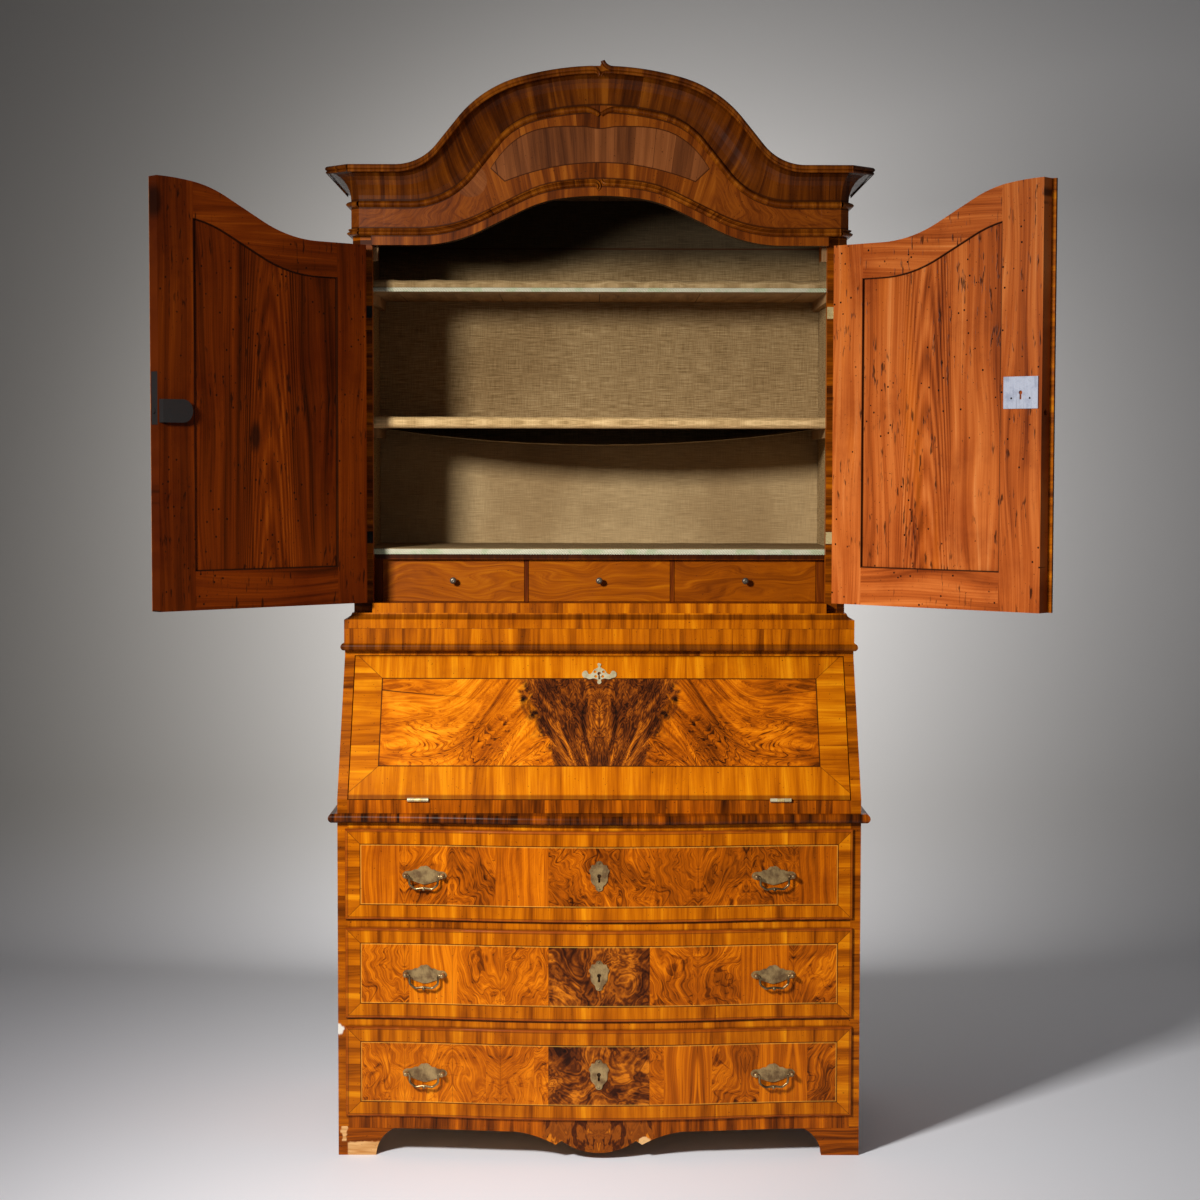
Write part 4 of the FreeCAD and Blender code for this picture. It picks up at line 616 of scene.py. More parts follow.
def door_wood(name, left, framed, seed):
    """A door: reddish worn softwood inside, banded walnut with a burl field outside; on the left door the
    softwood is painted darker, as painted shade.
    """
    stile, panel_foot, panel_head = 0.0746, 1.1745, 1.750
    door_middle, door_half, door_foot, door_head, band = 0.2446, 0.2420, 1.0985, 1.820, 0.055
    meeting = 0.4096 if left else 0.3976
    wood = Finish(name)
    up = wood.z
    width, through = door_place(wood, left)
    arch = arch_lift(wood, HINGE_X - width, DOOR_ARCH)
    panel_top = arch + panel_head
    panel_side = (width - stile).smaller(meeting - width)
    panel_edge = panel_side.smaller((up - panel_foot).smaller(panel_top - up))
    along, across = up, width
    if framed:
        rail = (up < panel_foot).larger(up > panel_top) * (panel_side > 0.0)
        along, across = blend(rail, up, width), blend(rail, width, up)
    drift = wood.grain(across * 5.0, along * 0.9, seed, 2.0)
    rings = wood.grain(across * 62.0 + drift * 12.0, along * 0.9, seed, 3.0)
    fine = wood.grain(across * 420.0 + drift * 50.0, along * 5.0, seed, 2.0)
    broad = wood.grain(across * 13.0, along * 1.1, seed + 2.0, 2.0)
    level = varied(0.55, (rings, 0.85), (fine, 0.42), (broad, 0.65))
    if not framed:
        middle = width - 0.5 * (stile + meeting) + 0.012
        crown = up * 9.0 + abs(middle * 42.0) ** 2.0 + drift * 5.0
        cathedral = (abs(middle) + (drift - 0.5) * 0.05).rise(0.075, 0.05)
        level = level + (crown * 6.0).wave() * cathedral * 0.11
    # Painted shade: the left door takes a darker copy of the pine tints and of the amber streaks
    colour = level.ramp(PAINTED_SHADE_PINE if left else PINE)
    amber = wood.grain(across * 17.0, along * 1.6, seed + 7.0, 2.0)
    glow = (104, 40, 2) if left else (204, 102, 18)
    colour = colour.lay(amber.rise(0.56, 0.72) * 0.5, glow)
    knot = wood.dots(across * 5.5, along * 2.4, seed)
    colour = colour.lay(knot.rise(0.10, 0.04) * 0.9, (34, 11, 3))
    holes = wood.dots(width * 50.0, up * 50.0, seed)
    bored = holes.rise(0.12, 0.085) * wood.noise(5.0, 2.0).rise(0.42, 0.50)
    streak = wood.grain(width * 150.0, up * 24.0, seed + 5.0, 2.0)
    dents = streak.rise(0.60, 0.68) * wood.noise(9.0, 2.0).rise(0.45, 0.55)
    harm = bored.larger(dents * 0.8)
    colour = colour.lay(harm, (26, 9, 3))
    soil = wood.noise(3.4, 5.0, 0.6)
    colour = colour.lay(soil.rise(0.48, 0.7) * 0.4, (170, 104, 60), "MULTIPLY")
    # Painted shade in the recess round the panel
    painted_groove_shade = panel_edge.near(0.0006, 0.0022) * through.rise(0.018, 0.0225)
    colour = colour.lay(painted_groove_shade * 0.9, (26, 10, 4))
    outer = 1 - through.rise(0.0006, 0.0010)
    shut = width - door_middle
    ends = (up - door_foot).smaller(arch + door_head - up)
    edge, strip_along, strip_across = mitred(door_half - abs(shut), ends, width, up)
    strip = cross_grain(wood, strip_along, strip_across, 6.6)
    heart = (burl(wood, abs(shut), up * 0.7, 5.5) + 0.08).ramp(DARK_BURL)
    sheets = figure(wood, abs(shut), up * 0.6, 2.2).ramp(FIGURED)
    field = heart.lay(abs(shut).rise(0.09, 0.10), sheets)
    veneer = strip.ramp(STRIPE).lay(edge > band, field).line(edge - band, 0.0012)
    colour = colour.lay(outer, veneer)
    colour = colour.lay(through.rise(-0.0004, -0.0010) * 0.7, (84, 34, 8))
    # Painted shade: the left door's inner face is painted darker towards its free edge and over that edge
    if left:
        colour = colour.lay(width.rise(0.39, 0.45) * 0.3 * (1 - outer), (28, 9, 1))
    return old_polish(wood, colour, level - harm * 0.7, 0.36, 0.0004)


def honey_wood(name, seed, lift):
    """Small drawers: smooth honey-brown wood with the grain running across."""
    wood = Finish(name)
    x, z = wood.x, wood.z
    drift = wood.grain(x * 3.2, z * 9.0, seed, 2.0)
    rings = wood.grain(x * 3.0, z * 60.0 + drift * 16.0, seed, 4.0, 0.6, 0.5)
    threads = wood.grain(x * 16.0, z * 420.0 + drift * 60.0, seed, 2.0)
    level = varied(0.58, (rings, 1.15), (threads, 0.4))
    return old_polish(wood, (level + lift).ramp(HONEY), level, 0.36, 0.0003)


def nest_wood():
    """The nest of small drawers: red-brown dividers, a cross-grain strip along the front, and painted shade
    under the braid.
    """
    wood = Finish("nest_wood")
    x, z = wood.x, wood.z
    level = straight_grain(wood, x, z, 3.0)
    colour = (level - 0.25).ramp(FIGURED).lay(0.65, (84, 30, 4))
    strip_level = cross_grain(wood, x, z, 2.6, 0.05)
    colour = colour.lay(wood.y < DOOR_FRONT + 0.002, strip_level.ramp(STRIPE))
    # Painted shade: a dark band along the top, under the braid
    colour = colour.lay(z.rise(1.183, 1.186) * 0.8, (36, 14, 4))
    return old_polish(wood, colour, level)


def plain_softwood(name, seed, pale):
    """Unpolished old softwood for backs, drawer boxes and inner boards."""
    plank_width = 0.21
    wood = Finish(name)
    x, y, z = wood.x, wood.y, wood.z
    wander = wood.grain(x * 2.0, y * 2.0, z * 2.0, 2.0)
    rings = wood.grain(x * 40.0 + wander * 8.0, y * 3.0, z * 3.0, 4.0)
    threads = wood.grain(x * 300.0, y * 14.0, z * 14.0, 2.0)
    level = rings * 0.7 + threads * 0.3
    joint = x / plank_width + seed
    colour = (level + joint.cells() * 0.08).ramp(shades((0.25, 0.5, 0.8), (84, 56, 28), pale, (188, 150, 102)))
    soil = wood.noise(3.0, 5.0, 0.6)
    colour = colour.lay(soil.rise(0.48, 0.7) * 0.5, (128, 98, 70), "MULTIPLY")
    gap = abs(joint.fraction() - 0.5).rise(0.494, 0.498)
    colour = colour.lay(gap * 0.8, (40, 26, 14))
    return wood.join(colour, 0.72, level - gap, 0.0008)


# Cloth and metal

def linen_cloth(name, across, up, shade, seam=None):
    """Coarse plain-woven linen with slubs; two axes name the weave's ways, and a seam may cross it, with
    painted shadow above it and painted light low down.
    """
    cloth = Finish(name)
    axes = {"x": cloth.x, "y": cloth.y, "z": cloth.z}
    warp, weft = axes[across], axes[up]
    uneven = cloth.noise(60.0, 2.0) * 0.7
    weave = (warp * 4200.0 + uneven).wave() * (weft * 3600.0 + uneven).wave() * 0.5 + 0.5
    slubs = cloth.grain(warp * 24.0, weft * 620.0, 1.0, 3.0, 0.6)
    uprights = cloth.grain(warp * 520.0, weft * 26.0, 4.0, 3.0, 0.6)
    level = slubs * 0.6 + uprights * 0.28 + weave * 0.12
    threads = (104, 80, 46), (158, 130, 88), (196, 168, 122)
    shaded = [[part * shade for part in thread] for thread in threads]
    colour = level.ramp(shades((0.34, 0.50, 0.66), *shaded))
    if seam:
        # Painted shadow: the linen above the seam, in the top compartment, is painted dark
        colour = colour.lay(cloth.z.rise(seam - 0.08, seam + 0.004) * 0.88, (40, 34, 26))
        # Painted light: the linen low down, under the middle shelf, is painted paler
        colour = colour.lay(cloth.z.rise(1.46, 1.40) * 0.35, (214, 184, 136))
        colour = colour.line(cloth.z - seam, 0.0016, 0.8)
    stain = cloth.noise(2.6, 4.0)
    colour = colour.lay(stain.rise(0.48, 0.68) * 0.35, (160, 134, 96), "MULTIPLY")
    return cloth.join(colour, 0.92, level, 0.0007, specular=0.1)


def braid_cloth():
    """Pale woven braid with a faint green thread."""
    cloth = Finish("pale_braid")
    thread = ((cloth.x + cloth.y + cloth.z) * 1100.0).wave() * 0.5 + 0.5
    fade = cloth.noise(26.0, 3.0)
    colour = cloth.mix(fade.rise(0.46, 0.6) * 0.6, (212, 208, 180), (172, 190, 146))
    colour = colour.lay((1 - thread) * 0.35, (84, 80, 60))
    return cloth.join(colour, 0.9, thread, 0.0006, sheen=0.2)


def aged_metal(name, bright, dull, deep, metallic, roughness, strokes=(900.0, 300.0, 160.0)):
    """Old metal: handled brightness on the high places, tarnish between, and fine scratches."""
    metal = Finish(name)
    patch = metal.noise(46.0, 4.0, 0.6)
    colour = metal.mix(patch.rise(0.36, 0.68), bright, dull)
    bend = metal.node("ShaderNodeNewGeometry", output="Pointiness")
    colour = colour.lay(bend.rise(0.50, 0.44), deep)
    scratch = metal.grain(metal.x * strokes[0], metal.y * strokes[1], metal.z * strokes[2], 2.0)
    colour = colour.lay(scratch.rise(0.52, 0.72) * 0.35, deep)
    gloss = patch * 0.3 + (roughness - 0.12)
    return metal.join(colour, gloss, scratch * 0.5 + patch * 0.5, 0.0002, metallic)


def case_hinge_metal():
    """The case's hinge halves: dark iron at the left door, brass at the right door and the lid."""
    metal = Finish("case_hinge_metal")
    patch = metal.noise(60.0, 5.0, 0.65)
    tarnish = patch.rise(0.42, 0.62)
    iron = metal.mix(tarnish, (40, 34, 30), (24, 18, 15))
    brass = metal.mix(tarnish, (240, 220, 160), (196, 164, 96))
    colour = iron.lay((metal.z < 0.8).larger(metal.x > 0.0), brass)
    return metal.join(colour, patch * 0.3 + 0.24, patch, 0.0002, 0.6)


BRASS = aged_metal("aged_brass", (178, 148, 98), (112, 84, 52), (40, 28, 16), 0.55, 0.36)
BAIL_BRASS = aged_metal("bail_brass", (156, 132, 92), (90, 70, 44), (34, 24, 14), 0.85, 0.28)
KEY_BRASS = aged_metal("key_plate_brass", (226, 216, 178), (188, 172, 130), (92, 78, 52), 0.45, 0.34)
BRIGHT_BRASS = aged_metal("hinge_brass", (226, 178, 88), (178, 130, 56), (80, 54, 22), 0.7, 0.34)
IRON = aged_metal("wrought_iron", (20, 14, 12), (12, 8, 7), (6, 4, 3), 0.0, 0.62)
STEEL = aged_metal("filed_steel", (206, 212, 228), (160, 166, 184), (98, 102, 116), 0.45, 0.3,
                   (170.0, 170.0, 12.0))
KNOB_METAL = aged_metal("knob_metal", (120, 108, 92), (84, 74, 64), (36, 30, 26), 0.6, 0.35)
LINEN_BACK = linen_cloth("lining_linen", "x", "z", 1.0, 1.851)
LINEN_SIDE = linen_cloth("side_linen", "y", "z", 1.0)
LINEN_SHELF = linen_cloth("shelf_linen", "x", "y", 1.04)
# Painted light: the middle shelf's cover is a paler copy of the linen as a painted highlight, and the deck's
# is a darker copy as painted shade
LINEN_EDGE_PAINTED_HIGHLIGHT = linen_cloth("edge_linen_painted_highlight", "x", "y", 1.28)
LINEN_DECK_PAINTED_SHADE = linen_cloth("deck_cloth_painted_shade", "x", "y", 0.92)
BRAID = braid_cloth()
BEAD = cornice_veneer("bead_walnut", 5.7, 0.16, 0.0)
SOFTWOOD = plain_softwood("plain_softwood", 1.0, (150, 112, 66))
BOX_WOOD = plain_softwood("box_softwood", 4.0, (164, 128, 82))
SIDE_LEFT = case_side_veneer("left_side_veneer", 1.1)
SIDE_RIGHT = case_side_veneer("right_side_veneer", 6.3)

finishes = {
    "left_side": SIDE_LEFT, "cabinet_left_side": SIDE_LEFT,
    "right_side": SIDE_RIGHT, "cabinet_right_side": SIDE_RIGHT,
    "drawer_rails": rail_walnut(), "apron": apron_veneer(), "bracket_feet": foot_veneer(),
    "table_moulding": striped_walnut("table_edge", 3.1, FIGURED, -0.32), "writing_board": board_walnut(),
    "desk_top": striped_walnut("edge_strip", 6.2, STRIPE, -0.05), "waist_mouldings": waist_walnut(),
    "small_drawer_case": nest_wood(), "arched_frieze": frieze_veneer(),
    "cornice": cornice_veneer("cornice_walnut", 2.9, 0.05, 0.5), "case_hinges": case_hinge_metal(),
    "lid_board": lid_veneer(), "lid_fittings": KEY_BRASS, "lid_lock_bolt": STEEL,
    "left_door_frame": door_wood("left_frame_wood_painted_shade", True, True, 2.0),
    "left_door_panel": door_wood("left_panel_wood_painted_shade", True, False, 3.4),
    "right_door_frame": door_wood("right_frame_wood", False, True, 6.0),
    "right_door_panel": door_wood("right_panel_wood", False, False, 7.5),
    "left_door_ironwork": IRON, "left_door_bolt": IRON,
    "right_door_lock": STEEL, "right_door_hinges": BRIGHT_BRASS}
for node in ("base_back", "drawer_supports", "pigeonholes", "cabinet_back", "shelves", "shelf_bearers",
             "roof_boards"):
    finishes[node] = SOFTWOOD
for drawer, dark, seed, deeper in (("upper", False, 2.9, 0.09), ("middle", True, 4.1, 0.02),
                                   ("lower", True, 7.7, 0.04)):
    finishes[drawer + "_drawer_front"] = drawer_veneer(drawer, dark, seed, deeper)
    for word, finish in (("box", BOX_WOOD), ("fittings", BRASS), ("bolt", STEEL), ("left_bail", BAIL_BRASS),
                         ("right_bail", BAIL_BRASS)):
        finishes[drawer + "_drawer_" + word] = finish
for place, seed, lift in (("left", 2.0, 0.02), ("centre", 5.0, 0.03), ("right", 8.0, -0.06)):
    finishes[place + "_small_drawer"] = honey_wood(place + "_drawer_wood", seed, lift)
    finishes[place + "_small_knob"] = KNOB_METAL
for node, finish in finishes.items():
    mesh = nodes[node].data
    mesh.materials.clear()
    mesh.materials.append(finish)


# Linen and braid

def put(name, data):
    """A new object in the scene."""
    made = bpy.data.objects.new(name, data)
    bpy.context.collection.objects.link(made)
    return made


def smooth_mesh(name, points, faces, material):
    mesh = bpy.data.meshes.new(name)
    mesh.from_pydata(points, [], faces)
    mesh.validate()
    mesh.materials.append(material)
    mesh.shade_smooth()
    return put(name, mesh)


def piece(name, points, faces, material, body, slot):
    """A smooth mesh in the part's frame that rides on a body."""
    made = smooth_mesh(name, points, faces, material)
    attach(made, body)
    return made


def strips(rows, wide):
    """Quads between rows of points, each so many points wide."""
    return [(j * wide + i, j * wide + i + 1, (j + 1) * wide + i + 1, (j + 1) * wide + i)
            for j in range(rows - 1) for i in range(wide - 1)]


def woven(name, columns, rows, point, material, slot="linen"):
    """A sheet on the case, from a function of two shares."""
    points = [point(i / columns, j / rows) for j in range(rows + 1) for i in range(columns + 1)]
    return piece(name, points, strips(rows + 1, columns + 1), material, "case", slot)


def ripple(a, b, size):
    """A gentle fixed waviness of hung cloth, never below zero."""
    swell = sin(a * 9.0 + b * 3.1) + 0.6 * sin(a * 23.0 - b * 7.0)
    swell += 0.5 * sin(b * 31.0 + a * 4.0)
    return size * (2.1 + swell) / 4.2


LINEN_LOW = DECK_TOP + 0.0005
ARCH_TOP = 1.955


def back_linen():
    wide, low = CABINET_INNER - 0.0016, LINEN_LOW

    def point(a, b):
        x = blend(a, -wide, wide)
        z = blend(b, low, ARCH_TOP)
        return (x, SHELF_BACK - 0.0001 - ripple(x * 3, z * 3, 0.0018), z)

    made = woven("back_linen", 160, 120, point, LINEN_BACK)
    return made


def side_linen(name, sign):
    low, high = LINEN_LOW, 1.8215
    front, back = 0.0156, SHELF_BACK - 0.002

    def point(a, b):
        y = blend(a, front, back)
        z = blend(b, low, high)
        return (sign * (CABINET_INNER - 0.0008 - ripple(y * 4, z * 3, 0.0012)), y, z)

    made = woven(name, 60, 110, point, LINEN_SIDE)


def shelf_cover(name, z, roll, cloth):
    """Linen drawn over a shelf: along the top, round the front edge and back under it."""
    wide = CABINET_INNER - 0.004
    top, low = z + SHELF + 0.0009, z - 0.0009
    nose, bends = 0.0095, 14
    centre_y, centre_z = SHELF_FRONT + nose, z + SHELF / 2
    half = (top - low) / 2
    path = [(SHELF_BACK - 0.004, top), (SHELF_FRONT + 0.03, top), (centre_y, top)]
    for k in range(1, bends):
        turn = pi * k / bends
        path.append((centre_y - (nose + 0.0012) * sin(turn), centre_z + half * cos(turn)))
    path += [(centre_y, low), (SHELF_FRONT + 0.05, low)]
    steps = [0.0]
    for first, second in zip(path, path[1:]):
        steps.append(steps[-1] + dist(first, second))
    rows = len(path) - 1

    def point(a, b):
        y, height = path[round(b * rows)]
        x = blend(a, -wide, wide)
        swell = ripple(x * 6, y * 5, roll)
        return (x, y - swell * 0.4, height + (swell if height > centre_z else -swell * 0.2))

    made = woven(name, 170, rows, point, cloth)


def slack_linen():
    """The cloth that hangs slack under the middle shelf."""
    half, sag = CABINET_INNER - 0.0232, 0.033
    front, back = SHELF_FRONT + 0.030, SHELF_BACK - 0.003
    radius = (half ** 2 + sag ** 2) / (2 * sag)
    sweep = asin(half / radius)

    def point(a, b):
        angle = sweep * (2 * a - 1)
        z = MIDDLE_SHELF - sag + radius * (1 - cos(angle))
        y = blend(b, front, back)
        loose = ripple(angle * 30, y * 4, 0.0014) * cos(pi * (a - 0.5))
        return (radius * sin(angle), y, z - 0.0008 - loose)

    made = woven("slack_linen", 140, 30, point, LINEN_SHELF)


def deck_cover():
    """Linen laid over the deck above the small drawers and turned down over its front."""
    wide = CABINET_INNER - 0.003
    front, back = SHELF_FRONT - 0.014, SHELF_BACK - 0.003
    drop, steps = 0.009, 20
    length = back - front
    path = [(back - length * k / steps, DECK_TOP + 0.0007) for k in range(steps + 1)]
    path += [(front - 0.0008, DECK_TOP - 0.0004), (front - 0.0012, DECK_TOP - 0.003),
             (front - 0.0012, DECK_TOP - drop)]
    rows = len(path) - 1

    def point(a, b):
        y, z = path[round(b * rows)]
        x = blend(a, -wide, wide)
        return (x, y, z + (ripple(x * 5, y * 5, 0.0012) if y > front + 0.004 else 0.0))

    made = woven("deck_linen", 150, rows, point, LINEN_DECK_PAINTED_SHADE)


def braid(name, front, middle, height):
    """A woven braid along the front: two plaited rows with little loops along both edges."""
    half, stitch, beat_length, rows = CABINET_INNER - 0.004, 0.0016, 0.0052, 10

    def point(a, b):
        beat = a * 2 * half / beat_length
        zig = abs((beat + 0.5) % 1.0 - 0.5) * 2
        side = 2 * b - 1
        picot = 0.10 * cos(2 * pi * beat) * abs(side) ** 4
        plait = sin(2 * pi * (beat + abs(side) * 0.8))
        relief = 0.0008 + 0.0009 * (1 - abs(side) ** 3) + 0.0006 * plait + 0.0002 * zig
        return (blend(a, -half, half), front - max(relief, 0.0004), middle + height / 2 * side * (0.9 + picot))

    return woven(name, int(2 * half / stitch), rows, point, BRAID, "braid")


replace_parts(back_linen(), "linen_lining")
side_linen("left_side_linen", -1)
side_linen("right_side_linen", 1)
shelf_cover("middle_shelf_linen", MIDDLE_SHELF, 0.0010, LINEN_EDGE_PAINTED_HIGHLIGHT)
shelf_cover("top_shelf_linen", TOP_SHELF, 0.0032, LINEN_SHELF)
slack_linen()
deck_cover()
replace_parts(braid("deck_braid", SHELF_FRONT - 0.0155, DECK_TOP - 0.006, 0.012), "braid_trim")
braid("top_shelf_braid", SHELF_FRONT - 0.0022, TOP_SHELF + 0.003, 0.009)


# Beads along the arched front and the cornice, with the scrolls that end them in the middle

HOOK_DOWN = 1
CURL_UP = -1
OVERHANG = 0.046
BEAD_CORNER = 0.488
CANT = 0.017
MITRE = 0.4142
PROUD = 0.0003


def arched_path(arch, height, start, end, steps=150):
    """A line along an arch from the corner towards the middle: across, up and how thick."""
    across = [start + (end - start) * k / steps for k in range(steps + 1)]
    return [(x, height + arch_height(x, arch), 1.0) for x in across]


def curled(path, turn, radius, end_radius, sweep, thin, steps=18):
    """The same line carried on in a spiral that tapers to its end."""
    x, z, size = path[-1]
    heading = atan2(z - path[-2][1], x - path[-2][0])
    step = turn * radians(sweep) / steps
    for k in range(1, steps + 1):
        share = k / steps
        stride = 2 * blend(share, radius, end_radius) * sin(abs(step) / 2)
        heading += step / 2
        x += stride * cos(heading)
        z += stride * sin(heading)
        heading += step / 2
        path.append((x, z, size * blend(share, 1, thin)))
    return path


def moulding(name, points, rows, wide, both_ends):
    """A length of bead, closed at its last end or at both."""
    last = (rows - 1) * wide
    ends = [tuple(range(start, start + wide)) for start in ((0, last) if both_ends else (last,))]
    return piece(name, points, strips(rows, wide) + ends, BEAD, "case", "walnut_moulding")


def run_of(name, path, profile, height, out, front, sign):
    """A moulding swept along a line on the front, closed at both ends."""
    points = []
    for k, (x, z, size) in enumerate(path):
        before, after = path[max(k - 1, 0)], path[min(k + 1, len(path) - 1)]
        run = Vector((after[0] - before[0], after[1] - before[1])).normalized()
        for up, forward in profile:
            side = up * height * size
            points.append((sign * (x + run.y * side), front - PROUD - forward * out * size, z - run.x * side))
    return moulding(name, points, len(path), len(profile), True)


def returns_of(name, profile, height, out, middle, reach, sign):
    """The same moulding round the canted corner and along the side, mitred."""
    side = BEAD_CORNER + CANT
    plan = [((BEAD_CORNER, DOOR_FRONT), (MITRE, -1.0)), ((side, DOOR_FRONT + CANT), (1.0, -MITRE)),
            ((side, BACK), (1.0, 0.0))]
    points = []
    for (x, y), (dx, dy) in plan:
        for up, forward in profile:
            away = reach + PROUD + forward * out
            points.append((sign * (x + dx * away), y + dy * away, middle + up * height))
    return moulding(name, points, len(plan), len(profile), False)


def rounded(start, width, out, count, first=0):
    """Points of a full round, from its lower edge to its upper one."""
    shares = [k / count for k in range(first, count + 1)]
    return [(start + width * share, out * sin(pi * share) ** 0.7) for share in shares]


HALF_ROUND = rounded(-0.5, 1.0, 1.0, 12)
DOUBLE_ROUND = rounded(-0.5, 0.62, 1.0, 10) + rounded(0.12, 0.38, 0.72, 8, 1)

# Each moulding: arch, height of its middle, profile, height, how far it stands out, and the cornice's reach
LOWER = ("lower_bead", DOOR_ARCH, LOWER_BEAD + 0.015 / 2, DOUBLE_ROUND, 0.015, 0.0085, 0.0)
UPPER = ("upper_bead", BEAD_ARCH, UPPER_BEAD + 0.013 / 2, HALF_ROUND, 0.013, 0.010, 0.0)
ROLL = ("crown_roll", CROWN_ARCH, CROWN_FOOT + 0.0064, HALF_ROUND, 0.0096, 0.0045, OVERHANG)
THREAD = ("crown_thread", CROWN_ARCH, CROWN_FOOT - 0.0010, HALF_ROUND, 0.0060, 0.0030, OVERHANG)
# Each scroll: where the moulding leaves its arch, then the turn, two radii, sweep and taper of its curl
UPPER_HOOK = (0.035, HOOK_DOWN, 0.046, 0.040, 48, 0.72)
THREAD_HOOK = (0.012, HOOK_DOWN, 0.010, 0.006, 110, 0.4)
SCROLLS = {
    "left": ((LOWER, (0.012, HOOK_DOWN, 0.010, 0.006, 150, 0.5)), (UPPER, UPPER_HOOK),
             (ROLL, (0.016, HOOK_DOWN, 0.015, 0.013, 95, 0.5)), (THREAD, THREAD_HOOK)),
    "right": ((LOWER, (0.012, CURL_UP, 0.010, 0.007, 75, 0.6)), (UPPER, UPPER_HOOK),
              (ROLL, (0.026, CURL_UP, 0.027, 0.020, 68, 0.95)), (THREAD, THREAD_HOOK))}

beads = []
for word, scrolls in SCROLLS.items():
    sign = -1 if word == "left" else 1
    for (name, arch, middle, profile, height, out, reach), (stop, *curl) in scrolls:
        path = curled(arched_path(arch, middle, BEAD_CORNER + MITRE * reach, stop), *curl)
        beads.append(run_of(name + "_" + word, path, profile, height, out, DOOR_FRONT - reach, sign))
        returns_of(name + "_return_" + word, profile, height, out, middle, reach, sign)
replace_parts(beads[0], "cornice_beads")


# Nail heads on the key plates and rivets on the steel lock plate

def nail(name, body, place, facing, radius, material=BAIL_BRASS, slot="aged_brass"):
    """A hammered nail head: a low dome with a worn rim."""
    facing = Vector(facing).normalized()
    side = facing.orthogonal().normalized()
    other = facing.cross(side)
    rows, columns, dome = 5, 14, radius * 0.55
    points = []
    for j in range(rows):
        angle = pi / 2 * j / rows
        for i in range(columns):
            turn = 2 * pi * i / columns
            ring = radius * cos(angle) * (1 + 0.06 * sin(3 * turn + j))
            spot = Vector(place) + facing * dome * sin(angle)
            points.append(tuple(spot + (side * cos(turn) + other * sin(turn)) * ring))
    points.append(tuple(Vector(place) + facing * dome))
    faces = []
    for i in range(columns):
        after = (i + 1) % columns
        faces += [(j * columns + i, j * columns + after, (j + 1) * columns + after, (j + 1) * columns + i)
                  for j in range(rows - 1)]
        faces.append(((rows - 1) * columns + i, (rows - 1) * columns + after, rows * columns))
    return piece(name, points, faces, material, body, slot)


PLATE_FRONT = FRONT - BULGE - 0.0093
for drawer, low in DRAWER_LOW.items():
    for word, rise in (("upper", 0.0255), ("lower", -0.0260)):
        height = low + DRAWER_HEIGHT / 2 + 0.008 + rise
        nail(drawer + "_" + word + "_nail", drawer + "_drawer", (0.0, PLATE_FRONT, height), (0, -1, 0), 0.0022)
LOCK_KEYHOLE = Vector((0.79859, -0.36239, 1.51701))
LOCK_OUT = Vector((-0.6691, -0.7431, 0.0))
LOCK_ALONG = Vector((0.7431, -0.6691, 0.0))
for word, along in (("inner", -0.0203), ("outer", 0.0203)):
    place = LOCK_KEYHOLE + LOCK_ALONG * along + LOCK_OUT * 0.0002 - Vector((0.0, 0.0, 0.0107))
    nail("lock_" + word + "_rivet", "right_door", place, LOCK_OUT, 0.0032, IRON, "steel")


# Floor, light and camera

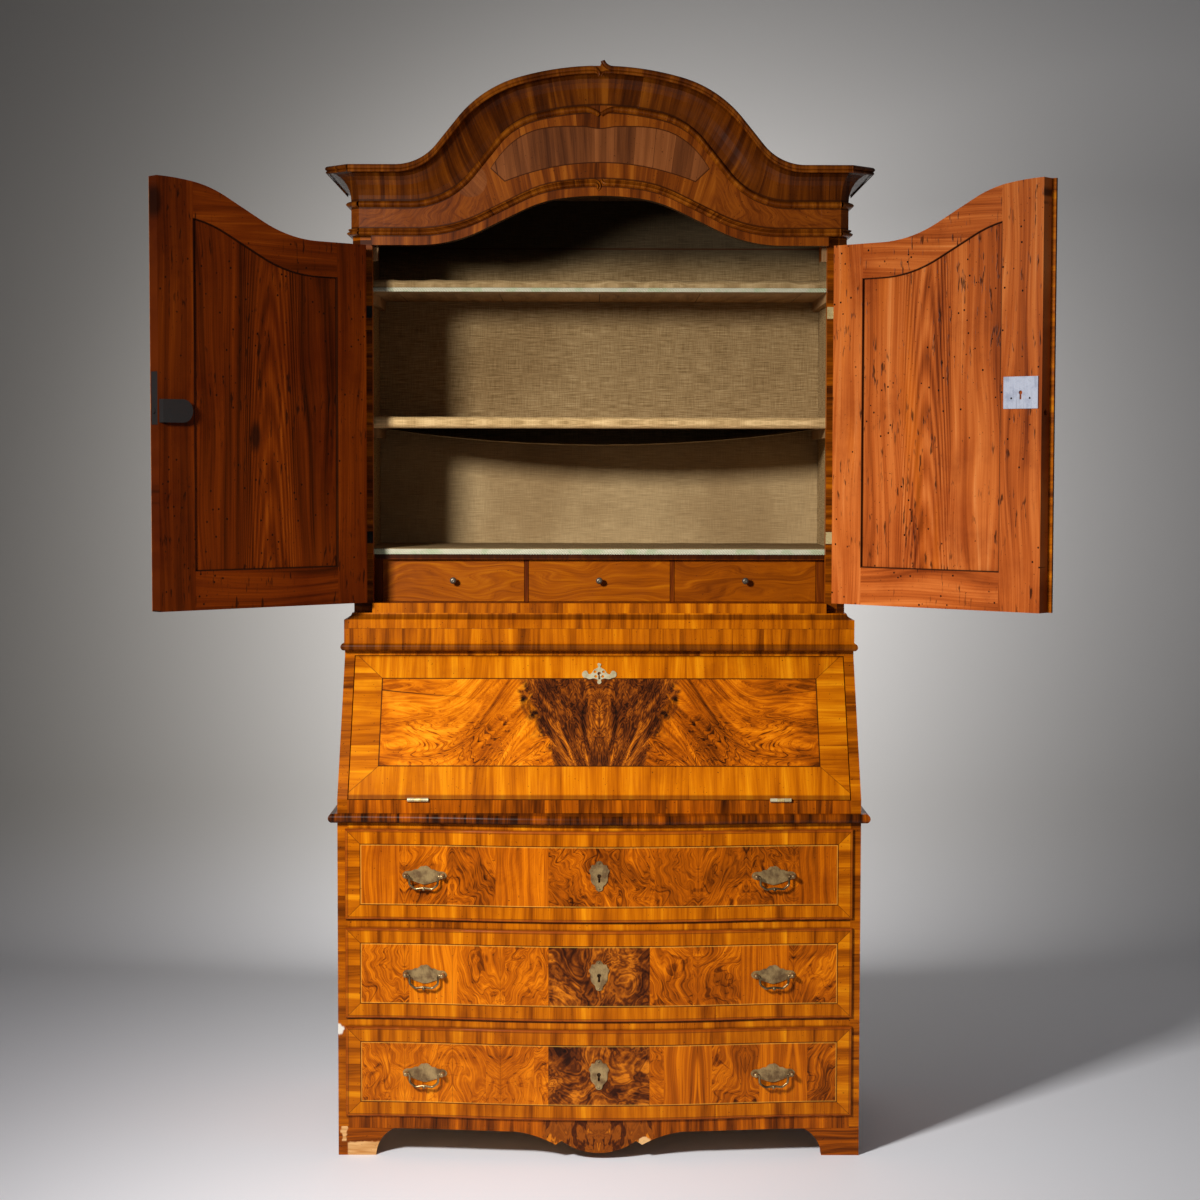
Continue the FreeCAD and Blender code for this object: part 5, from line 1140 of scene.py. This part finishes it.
def studio():
    """A seamless pale floor that curves up into a grey backdrop, seen from its front only, with painted shade
    towards the left.
    """
    reach, cove_start, cove, wall_top, bends = 9.0, 1.6, 1.0, 6.0, 16
    floor = Finish("pale_floor")
    fade = floor.noise(1.4, 3.0) * 0.1
    # Painted shade: the wall is painted darker towards the left
    wall_with_painted_shade = floor.mix(floor.x.rise(-2.6, 2.4), (150, 147, 143), (196, 195, 195))
    floor_with_painted_shade = floor.mix(fade, (247, 248, 253), (237, 238, 244))
    # Painted shade: the floor is painted darker on the left
    floor_with_painted_shade = floor_with_painted_shade.lay(floor.x.rise(-0.5, -1.6) * 0.5, (205, 205, 212))
    rise = (floor.z + floor.y.rise(-0.6, 2.6) * 0.5).rise(0.1, 0.9)
    backdrop = floor.join(floor_with_painted_shade.lay(rise, wall_with_painted_shade), 0.7)
    behind = floor.node("ShaderNodeNewGeometry", output="Backfacing")
    floor.feed(floor.shader.inputs["Alpha"], 1 - behind)
    profile = [(-reach, 0.0), (cove_start, 0.0)]
    for k in range(1, bends + 1):
        turn = pi / 2 * k / bends
        profile.append((cove_start + cove * sin(turn), cove - cove * cos(turn)))
    profile.append((cove_start + cove, wall_top))
    points = [(x, y, z - 0.0002) for y, z in profile for x in (-reach, reach)]
    made = smooth_mesh("studio_floor", points, strips(len(profile), 2), backdrop)
    world = bpy.data.worlds.new("studio")
    world.use_nodes = True
    sky = world.node_tree.nodes["Background"]
    sky.inputs["Color"].default_value = (0.84, 0.85, 0.88, 1.0)
    sky.inputs["Strength"].default_value = 0.13
    bpy.context.scene.world = world


def lamp(name, place, aim, size, power, colour, spread):
    """A square soft lamp that the camera doesn't see."""
    light = bpy.data.lights.new(name, "AREA")
    light.shape = "RECTANGLE"
    light.size = light.size_y = size
    light.energy = power
    light.color = colour
    light.spread = radians(spread)
    made = put(name, light)
    made.location = place
    made.rotation_euler = (Vector(aim) - Vector(place)).to_track_quat("-Z", "Y").to_euler()
    made.visible_camera = False


def stand_camera():
    """The camera as it stood for the photograph, fitted to the edges of the case and the doors."""
    focal_pixels, picture_pixels, film = 2408.1, 1200, 36.0
    place = (-0.0159, FRONT - 4.7487, 1.3775)
    pan, tilt, roll = radians(-0.2), radians(90 - 3.2), radians(0.1)
    data = bpy.data.cameras.new("view")
    data.sensor_width = film
    data.lens = focal_pixels / picture_pixels * film
    made = put("view", data)
    turn = Matrix.Rotation(pan, 4, "Z") @ Matrix.Rotation(tilt, 4, "X") @ Matrix.Rotation(roll, 4, "Z")
    made.matrix_world = Matrix.Translation(place) @ turn
    bpy.context.scene.camera = made


studio()
lamp("window_light", (-1.3, -2.2, 1.97), (0.1, -0.3, 0.6), 0.35, 28.5, (1.0, 0.985, 0.965), 95.0)
lamp("backdrop_light", (0.03, 1.05, 1.30), (0.0, 2.6, 1.25), 0.6, 31.0, (1.0, 0.98, 0.95), 142.0)
stand_camera()
bpy.context.scene.view_settings.view_transform = "Standard"
